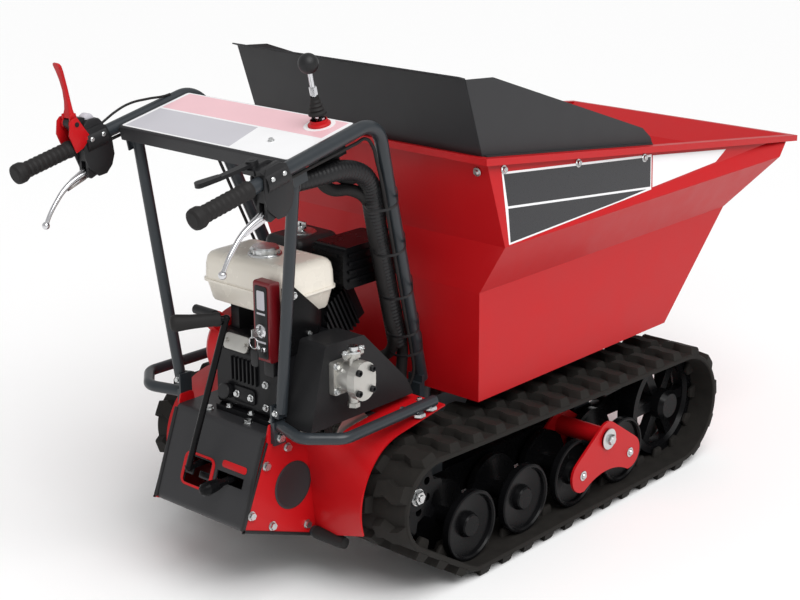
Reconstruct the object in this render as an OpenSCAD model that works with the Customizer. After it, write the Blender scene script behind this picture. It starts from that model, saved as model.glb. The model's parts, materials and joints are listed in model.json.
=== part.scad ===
// Tracked power carrier: a walk-behind tracked dumper with a tub that tips forward.
// Sizes are in millimetres. X points forward, Y to the machine's left and Z up.
// The origin lies on the ground, below the middle of the overall box.

/* [Tracks] */
// Width of one rubber track
track_w = 180; // [172:1:200]
// Distance between the two track centre lines
track_gauge = 592; // [580:1:620]
// Thickness of the belt between its lugs
belt_t = 12; // [10:0.5:14]
// Height of the outer lugs
lug_h = 17; // [12:0.5:20]
// Lugs in each half of the belt
lug_count = 34; // [30:1:38]
// Height of the guide horns inside the belt
horn_h = 20; // [14:1:22]
// Width of one guide horn
horn_w = 11; // [9:0.5:13]
// Half the free space between the two rows of guide horns
horn_in = 25; // [22:0.5:27]

/* [Running gear] */
// Belt radius round the drive sprocket
drive_r = 94; // [88:1:98]
// Teeth on the drive sprocket
sprocket_teeth = 8; // [7:1:9]
// Sprocket centre along X
sprocket_x = -461; // [-475:1:-450]
// Height of the sprocket centre
sprocket_z = 219; // [212:1:219]
// Radius of the drive axles
axle_r = 15; // [12:0.5:18]
// Radius of the front idlers
idler_r = 128; // [120:1:132]
// Idler centre along X
idler_x = 466; // [455:1:475]
// Radius of the idler axles
idler_pin_r = 14; // [11:0.5:17]
// Radius of the road wheels
wheel_r = 80; // [74:1:84]
// Tread width of one road wheel disc
wheel_tread = 17.5; // [14:0.5:20]
// Rear road wheel along X
wheel_first_x = -313; // [-325:1:-305]
// Distance between road wheels
wheel_pitch = 188; // [180:1:192]
// Radius of the road wheel pins
wheel_pin_r = 10; // [8:0.5:12]
// Bogie pivot above the road wheel pins
bogie_rise = 64; // [60:1:72]
// Radius of the bogie pivot pin
bogie_pin_r = 16; // [13:0.5:18]
// Thickness of the bogie plates
bogie_t = 6; // [4:0.5:8]
// Rounding of the bogie plate round its pins
bogie_lobe_r = 41; // [36:1:44]

/* [Chassis] */
// Underside of the track frame beams
beam_z = 120; // [112:1:124]
// Height of the track frame beams
beam_h = 70; // [64:1:76]
// Width of the track frame beams
beam_w = 42; // [34:1:46]
// Height of the cross tubes
cross_h = 60; // [56:1:66]
// Height of the main rails
rail_h = 60; // [50:1:62]
// Width of the main rails
rail_w = 40; // [30:1:46]
// Half the space between the main rails
rail_in = 80; // [74:1:84]
// Height of the deck that carries the engine
deck_z = 385; // [378:1:392]
// Sheet of the base cover
base_t = 4; // [3:0.5:5]
// Half width of the base cover
base_half_w = 133; // [128:1:134]
// Sheet of the red side plates and mudguards
plate_t = 4; // [3:0.5:5]
// Mudguard radius round the sprocket
mud_r = 150; // [146:1:158]

/* [Tub] */
// Sheet of the tub walls
tub_t = 3; // [2:0.5:4]
// Height of the tub floor
tub_floor_z = 367; // [362:1:372]
// Width of the tub floor
tub_floor_w = 624; // [600:1:640]
// Rear edge of the tub floor
tub_rear_x = -249; // [-252:1:-240]
// Front edge of the tub floor
tub_front_x = 469; // [462:1:480]
// Height of the lower fold of the tub sides
tub_fold1_z = 613; // [600:1:630]
// Height of the upper fold of the tub sides
tub_fold2_z = 722; // [700:1:735]
// Width of the tub at its upper fold
tub_fold2_w = 744; // [720:1:756]
// Width of the tub at its rim
rim_w = 684; // [670:1:700]
// Rear edge of the rim along X
rim_rear_x = -270; // [-276:1:-262]
// Height of the rim at the rear
rim_rear_z = 914; // [900:1:925]
// Front lip of the rim along X
rim_front_x = 970; // [950:1:985]
// Height of the front lip
rim_front_z = 760; // [750:1:775]
// Width of the folded rim flange
rim_flange = 16; // [12:1:18]
// Tub hinge along X
hinge_x = 446; // [440:1:450]
// Height of the tub hinge
hinge_z = 338; // [336:1:340]
// Radius of the tub hinge pin
hinge_pin_r = 12; // [10:0.5:14]
// Height of the load guard above the rear rim
guard_h = 158; // [120:1:180]
// Length of the load guard's cheeks along the rim
guard_l = 617; // [560:1:660]

/* [Tip cylinder] */
// Rear pivot of the cylinder along X
ram_x = -200; // [-205:1:-190]
// Height of the cylinder's rear pivot
ram_z = 215; // [212:1:222]
// Rod eye under the tub along X
eye_x = 200; // [192:1:206]
// Height of the rod eye
eye_z = 318; // [314:1:322]
// Outer radius of the barrel
barrel_r = 32; // [28:1:34]
// Radius of the piston rod
rod_r = 15; // [12:0.5:18]

/* [Operator frame] */
// Outer radius of the handle tubes
tube_r = 14; // [12:0.5:16]
// Wall of the handle tubes
tube_t = 2.5; // [1.5:0.5:4]
// Half the distance between the two handles
handle_half_w = 262; // [250:1:270]
// Rear end of the handles along X
handle_x = -986; // [-995:1:-975]
// Height of the handles at their rear end
handle_z = 914; // [905:1:925]
// Upward slope of the handles in degrees
handle_tilt = 12.45; // [11:0.05:14]
// Length of the hand grips
grip_l = 137; // [120:1:145]
// Radius of the hand grips
grip_r = 17; // [16.5:0.5:20]
// Length of the dash plate
dash_l = 199; // [180:1:205]
// Rear edge of the dash plate, measured along the handle
dash_s = 252; // [246:1:262]

/* [Engine] */
// Crankshaft along X
crank_x = -582; // [-586:1:-578]
// Height of the crankshaft
crank_z = 502; // [498:1:506]
// Radius of the engine pulley's groove floor
pulley_r = 32; // [28:1:34]
// Radius of the driven pulley's groove floor
driven_r = 44; // [40:1:46]
// Radius of the recoil starter cover
recoil_r = 80; // [74:1:82]
// Length of the fuel tank across the machine
tank_l = 250; // [240:1:256]
// Depth of the fuel tank
tank_d = 151; // [140:1:155]
// Height of the fuel tank
tank_h = 108; // [100:1:114]

/* [Hidden] */
$fn = 48;

// Paint and material colours
red = [0.78, 0.07, 0.09];
anthracite = [0.20, 0.22, 0.24];
dark_grey = [0.27, 0.27, 0.29];
black = [0.07, 0.07, 0.07];
rubber = [0.12, 0.12, 0.11];
chrome = [0.80, 0.81, 0.83];
alloy = [0.62, 0.63, 0.64];
white = [0.90, 0.88, 0.84];

// Shared clearances
run_gap = 0.4;
pin_fit = 0.05;
end_gap = 0.5;
seat_gap = 0.3;

// Heights and places that follow from the driving sizes
track_y = track_gauge / 2;
ground_t = belt_t + lug_h;
wheel_z = ground_t + run_gap + wheel_r;
idler_z = ground_t + run_gap + idler_r;
wheel_xs = [for (i = [0:3]) wheel_first_x + i * wheel_pitch];
bogie_x = (wheel_xs[2] + wheel_xs[3]) / 2;
bogie_z = wheel_z + bogie_rise;
belt_loop = [
    [wheel_xs[0], wheel_z, wheel_r + run_gap],
    [idler_x, idler_z, idler_r + run_gap],
    [sprocket_x, sprocket_z, drive_r]
];
wheel_in = horn_in + horn_w + 2.5;
wheel_out = wheel_in + wheel_tread;
hub_out = wheel_out - 2;
beam_y1 = track_y - wheel_out - 12;
beam_y0 = beam_y1 - beam_w;
beam_top = beam_z + beam_h;
beam_rear_x = -380;
beam_front_x = 290;
rail_z = beam_top + cross_h;
rail_top = rail_z + rail_h;
rail_out = rail_in + rail_w;
rail_rear_x = -640;
rail_front_x = hinge_x + 14;
cross_xs = [-300, 250];
cross_w = 60;
side_y = base_half_w + plate_t;

// The belt drive stands off the right track, and the engine stands off the belt drive
belt_side_gap = 8;
pulley_half = 14;
pulley_y = -(track_y - track_w / 2 - belt_side_gap - pulley_half);
pto_y = pulley_y + pulley_half + 20;
recoil_y = pto_y + 205;
cover_y = [pulley_y - pulley_half - 27, pto_y];

// Small vector helpers
function unit(v) = v / norm(v);
function total(v, i = 0) = i < len(v) ? v[i] + total(v, i + 1) : 0;
function polar(r, a) = [r * cos(a), r * sin(a)];

// Matrix that stands a shape on point p with its Z axis along d
function stand(p, d) =
    let (z = unit(d))
    let (ref = abs(z[2]) < 0.9 ? [0, 0, 1] : [1, 0, 0])
    let (x = unit(cross(ref, z)))
    let (y = cross(z, x))
    [[x[0], y[0], z[0], p[0]], [x[1], y[1], z[1], p[1]], [x[2], y[2], z[2], p[2]], [0, 0, 0, 1]];

// Outward normal of the straight run from circle a to circle b; circles are [x, z, r]
function run_angle(a, b) =
    atan2(b[1] - a[1], b[0] - a[0]) - acos((a[2] - b[2]) / norm([b[0] - a[0], b[1] - a[1]]));
function rim_point(c, a) = [c[0], c[1]] + polar(c[2], a);
function arc_sweep(loop, i) =
    let (n = len(loop))
    (run_angle(loop[i], loop[(i + 1) % n]) - run_angle(loop[(i + n - 1) % n], loop[i]) + 720) % 360;
function run_length(loop, i) =
    let (next = loop[(i + 1) % len(loop)], a = run_angle(loop[i], next))
    norm(rim_point(next, a) - rim_point(loop[i], a));
function loop_length(loop) =
    total([for (i = [0:len(loop) - 1]) loop[i][2] * arc_sweep(loop, i) * PI / 180 + run_length(loop, i)]);

// Point and outward angle at distance s along a belt that wraps a loop of circles
function loop_spot(loop, s, i = 0) =
    let (n = len(loop), next = loop[(i + 1) % n])
    let (a0 = run_angle(loop[(i + n - 1) % n], loop[i]), sweep = arc_sweep(loop, i))
    let (arc = loop[i][2] * sweep * PI / 180, run = run_length(loop, i), a1 = a0 + sweep)
    s <= arc ? [rim_point(loop[i], a0 + sweep * s / arc), a0 + sweep * s / arc]
    : s <= arc + run ? [rim_point(loop[i], a1) + (rim_point(next, a1) - rim_point(loop[i], a1)) * (s - arc) / run, a1]
    : loop_spot(loop, s - arc - run, (i + 1) % n);
function loop_offset(loop, s, d) =
    let (f = loop_spot(loop, s))
    f[0] + polar(d, f[1]);

// Outline round a convex set of circles, walked anticlockwise, with an arc point every few degrees
function link_outline(loop, steps = 12) = [
    for (i = [0:len(loop) - 1])
        let (a0 = run_angle(loop[(i + len(loop) - 1) % len(loop)], loop[i]), sweep = arc_sweep(loop, i))
        for (k = [0:steps])
            rim_point(loop[i], a0 + sweep * k / steps)
];

// Open outline with each inner corner rounded to radius r
function corner(a, b, c, r, steps) =
    let (u = unit(b - a), v = unit(c - b), turn = acos(min(1, max(-1, u * v))))
    let (cut = r * tan(turn / 2), side = sign(u[0] * v[1] - u[1] * v[0]))
    let (centre = b - cut * u + r * side * [-u[1], u[0]], a0 = atan2(-side * u[0], side * u[1]))
    turn < 1 ? [b] : [for (k = [0:steps]) centre + polar(r, a0 + side * turn * k / steps)];
function rounded(pts, r, steps = 5) = [
    for (i = [0:len(pts) - 1])
        each (i == 0 || i == len(pts) - 1) ? [pts[i]] : corner(pts[i - 1], pts[i], pts[i + 1], r, steps)
];
function rounded_ring(pts, r, steps = 5) = [
    for (i = [0:len(pts) - 1])
        each corner(pts[(i + len(pts) - 1) % len(pts)], pts[i], pts[(i + 1) % len(pts)], r, steps)
];

// A sheet of thickness t along an open outline, laid on its left side
function seg_normal(a, b) = let (d = unit(b - a)) [-d[1], d[0]];
function mitre(pts, i) =
    i == 0 ? seg_normal(pts[0], pts[1])
    : i == len(pts) - 1 ? seg_normal(pts[i - 1], pts[i])
    : let (m = seg_normal(pts[i - 1], pts[i]) + seg_normal(pts[i], pts[i + 1])) 2 * m / (m * m);
function sheet(pts, t) = concat(pts, [for (i = [len(pts) - 1:-1:0]) pts[i] + t * mitre(pts, i)]);

// Evenly spaced points along an open outline
function path_length(pts) = total([for (i = [1:len(pts) - 1]) norm(pts[i] - pts[i - 1])]);
function path_spot(pts, s, i = 1) =
    let (run = norm(pts[i] - pts[i - 1]))
    s <= run || i == len(pts) - 1 ? pts[i - 1] + (pts[i] - pts[i - 1]) * min(1, s / run)
    : path_spot(pts, s - run, i + 1);
function resampled(pts, n) = [for (k = [0:n]) path_spot(pts, path_length(pts) * k / n)];

// Extrudes a side view, drawn in X and Z, from y0 to y1
module across(y0, y1) translate([0, y1, 0]) rotate([90, 0, 0]) linear_extrude(y1 - y0) children();

// Turns a profile of radius and Y about a crosswise axis through x, y, z
module turned(x, y, z) translate([x, y, z]) rotate([-90, 0, 0]) rotate_extrude() children();

module cross_pin(x, z, y0, y1, r) translate([x, y0, z]) rotate([-90, 0, 0]) cylinder(h = y1 - y0, r = r);
module rod(a, b, r) multmatrix(stand(a, b - a)) cylinder(h = norm(b - a), r = r);
module block(lo, hi) translate(lo) cube(hi - lo);
module both_sides() {
    children();
    mirror([0, 1, 0]) children();
}
module on_side(left) {
    if (left) children();
    else mirror([0, 1, 0]) children();
}

// Round bar along the points, with its corners bent to bend_r; the straights lap into the bends
bend_lap = 1;
bend_step = 0.05;
module bent_bar(pts, r, bend_r) {
    last = len(pts) - 1;
    dirs = [for (i = [1:last]) unit(pts[i] - pts[i - 1])];
    turns = [for (i = [1:last - 1]) acos(dirs[i - 1] * dirs[i])];
    cuts = [for (t = turns) bend_r * tan(t / 2)];
    for (i = [0:last - 1])
        rod(
            pts[i] + (i > 0 ? cuts[i - 1] - bend_lap : 0) * dirs[i],
            pts[i + 1] - (i < last - 1 ? cuts[i] - bend_lap : 0) * dirs[i],
            r - bend_step
        );
    if (last > 1) for (i = [0:last - 2]) {
        inward = unit(dirs[i + 1] - (dirs[i + 1] * dirs[i]) * dirs[i]);
        start = pts[i + 1] - cuts[i] * dirs[i];
        centre = start + bend_r * inward;
        e1 = -inward;
        e2 = dirs[i];
        e3 = cross(e1, e2);
        multmatrix([
            [e1[0], e2[0], e3[0], centre[0]],
            [e1[1], e2[1], e3[1], centre[1]],
            [e1[2], e2[2], e3[2], centre[2]],
            [0, 0, 0, 1]
        ])
            rotate_extrude(angle = turns[i]) translate([bend_r, 0]) circle(r);
    }
}
module bent_tube(pts, r, wall, bend_r) difference() {
    bent_bar(pts, r, bend_r);
    bent_bar(pts, r - wall, bend_r);
}

// Box with all its edges rounded
module soft_box(lo, hi, r) hull()
    for (x = [lo[0] + r, hi[0] - r], y = [lo[1] + r, hi[1] - r], z = [lo[2] + r, hi[2] - r])
        translate([x, y, z]) sphere(r, $fn = 24);

// Box with its crosswise edges rounded
module round_box(lo, hi, r) across(lo[1], hi[1]) polygon(rounded_ring([
    [lo[0], lo[2]], [hi[0], lo[2]], [hi[0], hi[2]], [lo[0], hi[2]]
], r));

// Hexagon head with its washer, sitting on point p and facing along d
module hex_bolt(p, d, r = 8) multmatrix(stand(p, d)) {
    cylinder(h = 2, r = 1.25 * r);
    translate([0, 0, 2]) cylinder(h = 0.8 * r, r = r, $fn = 6);
}

// Solid between rings of four corners, each ring listed anticlockwise from above
module loft(rings) {
    n = len(rings);
    polyhedron(
        points = [for (ring = rings) each ring],
        faces = concat(
            [[0, 1, 2], [0, 2, 3]],
            [for (k = [0:n - 2], i = [0:3]) each [
                [4 * k + i, 4 * k + 4 + i, 4 * k + 4 + (i + 1) % 4],
                [4 * k + i, 4 * k + 4 + (i + 1) % 4, 4 * k + (i + 1) % 4]
            ]],
            [[4 * n - 1, 4 * n - 2, 4 * n - 3], [4 * n - 1, 4 * n - 3, 4 * n - 4]]
        )
    );
}

// Sheet band between a side view at y_a and another at y_b, both with the same number of points
module band(line_a, y_a, line_b, y_b, t) {
    n = len(line_a);
    points = [
        for (i = [0:n - 1])
            let (a = line_a[i], b = line_b[i], c = b + t * mitre(line_b, i), d = a + t * mitre(line_a, i))
            each [[a[0], y_a, a[1]], [b[0], y_b, b[1]], [c[0], y_b, c[1]], [d[0], y_a, d[1]]]
    ];
    faces = concat(
        [[0, 1, 2], [0, 2, 3]],
        [for (k = [0:n - 2], i = [0:3]) each [
            [4 * k + i, 4 * k + 4 + i, 4 * k + 4 + (i + 1) % 4],
            [4 * k + i, 4 * k + 4 + (i + 1) % 4, 4 * k + (i + 1) % 4]
        ]],
        [[4 * n - 1, 4 * n - 2, 4 * n - 3], [4 * n - 1, 4 * n - 3, 4 * n - 4]]
    );
    polyhedron(points, faces);
}

// Round cord swept along a smooth curve through hand-picked points
cord_sides = 8;
function curve_spot(p, i, f) =
    let (n = len(p) - 1, a = p[max(i - 1, 0)], b = p[i], c = p[min(i + 1, n)], d = p[min(i + 2, n)])
    0.5 * (2 * b + (c - a) * f + (2 * a - 5 * b + 4 * c - d) * f * f + (3 * b - a - 3 * c + d) * f * f * f);
function curve(p, steps) = concat(
    [for (i = [0:len(p) - 2], k = [0:steps - 1]) curve_spot(p, i, k / steps)], [p[len(p) - 1]]);
module cord(route, r, steps = 3) {
    pts = curve(route, steps);
    n = len(pts);
    points = [
        for (i = [0:n - 1])
            let (m = stand(pts[i], pts[min(i + 1, n - 1)] - pts[max(i - 1, 0)]))
            for (k = [0:cord_sides - 1])
                let (a = 360 * k / cord_sides, x = r * cos(a), y = r * sin(a))
                [for (j = [0:2]) m[j][0] * x + m[j][1] * y + m[j][3]]
    ];
    faces = concat(
        [for (k = [1:cord_sides - 2]) [0, k, k + 1]],
        [for (i = [0:n - 2], k = [0:cord_sides - 1])
            let (a = i * cord_sides + k, b = i * cord_sides + (k + 1) % cord_sides)
            each [[a, a + cord_sides, b + cord_sides], [a, b + cord_sides, b]]],
        [for (k = [1:cord_sides - 2]) [0, k + 1, k] + (n - 1) * cord_sides * [1, 1, 1]]
    );
    polyhedron(points, faces);
}

// Tracks: each half of the belt carries its own row of lugs, set half a pitch apart
belt_length = loop_length(belt_loop);
lug_pitch = belt_length / lug_count;
lug_steps = [0, 0.07, 0.16, 0.25, 0.34, 0.43, 0.5, 0.625, 0.75, 0.875];
lug_rise = [0, 1, 1, 1, 1, 1, 0, 0, 0, 0];
module belt_ring(phase, out_rise, in_rise) {
    stations = [for (i = [0:lug_count - 1], j = [0:len(lug_steps) - 1])
        [((i + lug_steps[j] + phase) % lug_count) * lug_pitch, j]];
    difference() {
        polygon([for (s = stations) loop_offset(belt_loop, s[0], belt_t + out_rise * lug_rise[s[1]])]);
        polygon([for (s = stations) loop_offset(belt_loop, s[0], -in_rise * lug_rise[s[1]])]);
    }
}
module track(left) color(rubber) on_side(left) {
    across(track_y - track_w / 2, track_y) belt_ring(0, lug_h, 0);
    across(track_y, track_y + track_w / 2) belt_ring(0.5, lug_h, 0);
    for (y = [track_y + horn_in, track_y - horn_in - horn_w])
        across(y, y + horn_w) belt_ring(0.25, 0, horn_h);
}
module track_left() track(true);
module track_right() track(false);

// Drive sprocket with its live axle and end nut
sprocket_half_t = 14;
sprocket_tip_r = drive_r - 0.6;
sprocket_root_r = sprocket_tip_r - 24;
axle_end_y = track_y + 40;
module sprocket_teeth_2d() {
    pitch = 360 / sprocket_teeth;
    polygon([for (i = [0:sprocket_teeth - 1]) each [
        polar(sprocket_root_r, pitch * (i - 0.28)),
        polar(sprocket_tip_r - 4, pitch * (i - 0.15)),
        polar(sprocket_tip_r, pitch * (i - 0.08)),
        polar(sprocket_tip_r, pitch * (i + 0.08)),
        polar(sprocket_tip_r - 4, pitch * (i + 0.15)),
        polar(sprocket_root_r, pitch * (i + 0.28))
    ]]);
}
module sprocket(left) color(black) on_side(left) {
    difference() {
        union() {
            translate([sprocket_x, 0, sprocket_z]) across(track_y - sprocket_half_t, track_y + sprocket_half_t)
                sprocket_teeth_2d();
            cross_pin(sprocket_x, sprocket_z, track_y - 26, track_y + 26, axle_r + 17);
        }
        for (i = [0:sprocket_teeth - 1])
            translate([sprocket_x, 0, sprocket_z]) rotate([0, 360 * (i + 0.5) / sprocket_teeth, 0])
                cross_pin(axle_r + 34, 0, track_y - 30, track_y + 30, 9);
    }
    cross_pin(sprocket_x, sprocket_z, rail_in / 2, track_y + 25, axle_r);
    cross_pin(sprocket_x, sprocket_z, track_y + 24, track_y + 29, axle_r + 4);
    translate([sprocket_x, track_y + 28, sprocket_z]) rotate([-90, 0, 0]) cylinder(h = 9, r = axle_r + 1, $fn = 6);
    cross_pin(sprocket_x, sprocket_z, track_y + 28, axle_end_y, axle_r / 2);
}
module sprocket_left() sprocket(true);
module sprocket_right() sprocket(false);

// Front idler: a spoked wheel that runs between the guide horns
idler_half_w = horn_in - 1.5;
idler_hub_r = idler_pin_r + 24;
idler_spokes = 6;
module idler(left) color(black) on_side(left) translate([idler_x, track_y, idler_z]) {
    difference() {
        union() {
            turned(0, 0, 0) polygon([
                [idler_r - 18, -idler_half_w], [idler_r, -idler_half_w],
                [idler_r, idler_half_w], [idler_r - 18, idler_half_w],
                [idler_r - 24, idler_half_w - 10], [idler_r - 24, -idler_half_w + 10]
            ]);
            for (i = [0:idler_spokes - 1]) rotate([0, 360 * i / idler_spokes, 0])
                block([0, -11, -13], [idler_r - 22, 11, 13]);
            turned(0, 0, 0) polygon([
                [0, -45], [idler_hub_r - 6, -45], [idler_hub_r, -38], [idler_hub_r, 34],
                [idler_hub_r - 8, 45], [0, 45]
            ]);
        }
        cross_pin(0, 0, -46, 41, idler_pin_r + pin_fit);
    }
}
module idler_left() idler(true);
module idler_right() idler(false);

// Idler arms: slider, adjuster and axle stub, one pair
adjuster_x = beam_front_x + 62;
module idler_arms() color(black) both_sides() {
    rod([beam_front_x, (beam_y0 + beam_y1) / 2, idler_z], [adjuster_x, (beam_y0 + beam_y1) / 2, idler_z], 18);
    across(beam_y0 + 6, beam_y1 - 6) polygon(link_outline([
        [adjuster_x + 12, idler_z, 26], [idler_x, idler_z, 30]
    ]));
    cross_pin(idler_x, idler_z, beam_y1 - 8, track_y - 45 - end_gap, idler_pin_r + 8);
    cross_pin(idler_x, idler_z, beam_y1 - 8, track_y + 40, idler_pin_r);
}

// Road wheel: two dished discs on one hub; the fixed wheels have a closed hub cap
module wheel_disc() turned(0, 0, 0) polygon([
    [wheel_r, wheel_in], [wheel_r, wheel_out - 2], [wheel_r - 3, wheel_out], [wheel_r - 7, wheel_out],
    [wheel_r - 10, wheel_out - 4], [wheel_r - 12, wheel_in + 7], [wheel_pin_r + 20, wheel_in + 2],
    [wheel_pin_r + 16, hub_out - 3], [wheel_pin_r + 13, hub_out], [0, hub_out],
    [0, wheel_in - 6], [wheel_pin_r + 20, wheel_in - 4], [wheel_r - 10, wheel_in]
]);
module road_wheel(left, i) color(black) on_side(left) translate([wheel_xs[i], track_y, wheel_z])
    difference() {
        union() {
            wheel_disc();
            mirror([0, 1, 0]) wheel_disc();
            cross_pin(0, 0, -wheel_in, wheel_in, wheel_pin_r + 10);
        }
        cross_pin(0, 0, -wheel_out - 1, i < 2 ? hub_out - 8 : hub_out + 1, wheel_pin_r + pin_fit);
    }
module road_wheel_left_1() road_wheel(true, 0);
module road_wheel_left_2() road_wheel(true, 1);
module road_wheel_left_3() road_wheel(true, 2);
module road_wheel_left_4() road_wheel(true, 3);
module road_wheel_right_1() road_wheel(false, 0);
module road_wheel_right_2() road_wheel(false, 1);
module road_wheel_right_3() road_wheel(false, 2);
module road_wheel_right_4() road_wheel(false, 3);

// Track frames: inner beams with the pins of the fixed wheels and of the bogies
bogie_y0 = beam_y1 + 1.5;
bogie_y1 = track_y + 75;
module track_frames() color(black) both_sides() {
    across(beam_y0, beam_y1) polygon(rounded_ring([
        [beam_rear_x, beam_z], [beam_front_x, beam_z], [beam_front_x, beam_top], [beam_rear_x, beam_top]
    ], 8));
    across(beam_y0, beam_y1) polygon(link_outline([
        [bogie_x, bogie_z, bogie_pin_r + 16], [bogie_x, beam_z + 30, bogie_pin_r + 26]
    ]));
    for (i = [0, 1]) {
        cross_pin(wheel_xs[i], wheel_z, beam_y1 - 10, track_y - hub_out - end_gap, wheel_pin_r + 6);
        cross_pin(wheel_xs[i], wheel_z, beam_y1 - 10, track_y + hub_out - 9, wheel_pin_r);
        across(beam_y0, beam_y1) polygon(link_outline([
            [wheel_xs[i], beam_z + 24, wheel_pin_r + 22], [wheel_xs[i], wheel_z, wheel_pin_r + 12]
        ]));
    }
    cross_pin(bogie_x, bogie_z, beam_y1 - 10, bogie_y1 + 1, bogie_pin_r);
    cross_pin(bogie_x, bogie_z, bogie_y1 + end_gap, bogie_y1 + 5, bogie_pin_r + 7);
}

// Bogie: two rocker plates, the pivot tube and the pins of the front wheel pair
module bogie_plate() difference() {
    polygon(link_outline([
        [wheel_xs[2], wheel_z, bogie_lobe_r], [wheel_xs[3], wheel_z, bogie_lobe_r],
        [bogie_x, bogie_z, bogie_lobe_r]
    ]));
    translate([bogie_x, wheel_z - wheel_pitch]) circle(wheel_pitch - 17);
}
module bogie(left) color(red) on_side(left) {
    difference() {
        union() {
            across(bogie_y0, bogie_y0 + bogie_t) bogie_plate();
            across(bogie_y1 - bogie_t, bogie_y1) bogie_plate();
            cross_pin(bogie_x, bogie_z, bogie_y0, bogie_y1, bogie_pin_r + 7);
            for (i = [2, 3]) {
                cross_pin(wheel_xs[i], wheel_z, bogie_y0, track_y - hub_out - end_gap, wheel_pin_r + 6);
                cross_pin(wheel_xs[i], wheel_z, track_y + hub_out + end_gap, bogie_y1, wheel_pin_r + 6);
                cross_pin(wheel_xs[i], wheel_z, bogie_y0, bogie_y1 + 2, wheel_pin_r);
            }
        }
        cross_pin(bogie_x, bogie_z, bogie_y0 - 1, bogie_y1 + 1, bogie_pin_r + pin_fit);
    }
}
module bogie_left() bogie(true);
module bogie_right() bogie(false);

// Main frame: rails, cross tubes, hinge lugs, engine posts and brackets
leg_foot = [-286, 170, 380];
leg_foot_t = 8;
bulkhead_t = 8;
ram_ear_in = barrel_r + 1.5;
ram_ear_t = 8;
ram_pin_r = 12;
gear_y = 32;
gear_pivot_z = 180;
range_y = -66;
range_pivot_x = -690;
range_z = 281;
shelf_t = 8;
lug_r = hinge_pin_r + 12;
rest_xs = [-190, 60];
module main_frame() color(anthracite) {
    both_sides() {
        block([rail_rear_x, rail_in, rail_z], [rail_front_x, rail_out, rail_top]);
        for (x = [rail_rear_x, -450])
            block([x, rail_in, rail_top - 1], [x + 40, rail_out, deck_z - base_t]);
        for (x = rest_xs)
            translate([x, (rail_in + rail_out) / 2, rail_top - 1])
                cylinder(h = tub_floor_z - seat_gap - rail_top + 1, r = 18);
        across(rail_in, rail_out) polygon(link_outline([
            [hinge_x - 16, rail_z + 24, lug_r], [hinge_x, hinge_z, lug_r]
        ]));
        block([leg_foot[0] - 8 - leg_foot_t, rail_out - 1, rail_z], [leg_foot[0] - 8, leg_foot[1] + 20, leg_foot[2] + 14]);
        across(ram_ear_in, ram_ear_in + ram_ear_t) polygon(link_outline([
            [cross_xs[0] + cross_w / 2, ram_z + 2, 24], [ram_x, ram_z, 22]
        ]));
    }
    for (x = cross_xs)
        block([x - cross_w / 2, -beam_y1, beam_top], [x + cross_w / 2, beam_y1, rail_z]);
    cross_pin(hinge_x, hinge_z, -rail_out - 22, rail_out + 22, hinge_pin_r);
    cross_pin(ram_x, ram_z, -ram_ear_in - ram_ear_t - 4, ram_ear_in + ram_ear_t + 4, ram_pin_r);
    block([rail_rear_x, -rail_in - 1, gear_pivot_z - 26], [rail_rear_x + bulkhead_t, rail_in + 1, rail_top]);
    rod([rail_rear_x - 60, gear_y, gear_pivot_z], [rail_rear_x + 1, gear_y, gear_pivot_z], 8);
    block([range_pivot_x - 18, range_y - 14, range_z - 8 - shelf_t], [rail_rear_x + 1, range_y + 14, range_z - 8]);
    translate([range_pivot_x, range_y, range_z - 9]) cylinder(h = 24, r = 6);
}

// Base cover: one bent sheet from the belly round the sloping rear panel to the deck
base_rear = [-786, 193];
base_low = [-566, 112];
base_top_x = -714;
deck_front_x = -400;
panel_dir = unit([base_top_x - base_rear[0], deck_z - base_rear[1]]);
panel_tilt = atan2(panel_dir[1], panel_dir[0]);
function panel_x(z) = base_rear[0] + (z - base_rear[1]) * panel_dir[0] / panel_dir[1];
gate_z = 276;
module panel_slot(y0, y1, z, h) translate([panel_x(z), 0, z]) rotate([0, 90 - panel_tilt, 0])
    block([-12, y0, -h / 2], [base_t + 14, y1, h / 2]);
module base_cover() color(dark_grey) difference() {
    across(-base_half_w, base_half_w) polygon(sheet(rounded([
        [deck_front_x, deck_z], [base_top_x, deck_z], base_rear, base_low
    ], 14), base_t));
    panel_slot(-7, 65, gate_z + 12, 25);
    panel_slot(-7, 65, gate_z - 22, 20);
    panel_slot(22, 42, gate_z - 5, 40);
    panel_slot(range_y - 40, range_y + 40, range_z, 22);
}

// Side plates with the lug that carries the support tubes and guard tubes
side_front_x = -597;
plate_lug = [-703, -669, 404];
module side_plates() color(red) both_sides() across(base_half_w, side_y) polygon(rounded_ring([
    base_rear, base_low, [side_front_x, 356], [plate_lug[1] + 6, 371], [plate_lug[1], plate_lug[2]],
    [plate_lug[0], plate_lug[2]], [base_top_x + 2, 371]
], 5, 3));

// Mudguards: bent out from the side plates and swept over the rear of the tracks
mud_end = [-346, 388];
mud_y = track_y + 4;
mud_steps = 14;
mud_set = 8;
mud_inner = resampled(rounded([
    base_low + [-mud_set, 4], [side_front_x - mud_set, 374], mud_end
], 26), mud_steps);
mud_outer = resampled(concat(
    [for (a = [198:-9:99]) [sprocket_x, sprocket_z] + polar(mud_r, a)], [mud_end]), mud_steps);
belt_cut = [pulley_y - pulley_half - 7, -side_y + 1];
module mudguards() color(red) {
    band(mud_outer, mud_y, mud_inner, side_y, -plate_t);
    difference() {
        mirror([0, 1, 0]) band(mud_outer, mud_y, mud_inner, side_y, -plate_t);
        block([-640, belt_cut[0], 300], [-455, belt_cut[1], 420]);
        rod([peg[0], -side_y + 1, peg[1]], [peg[0], -side_y - peg_l - 2, peg[1]], peg_r + run_gap);
    }
}

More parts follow.
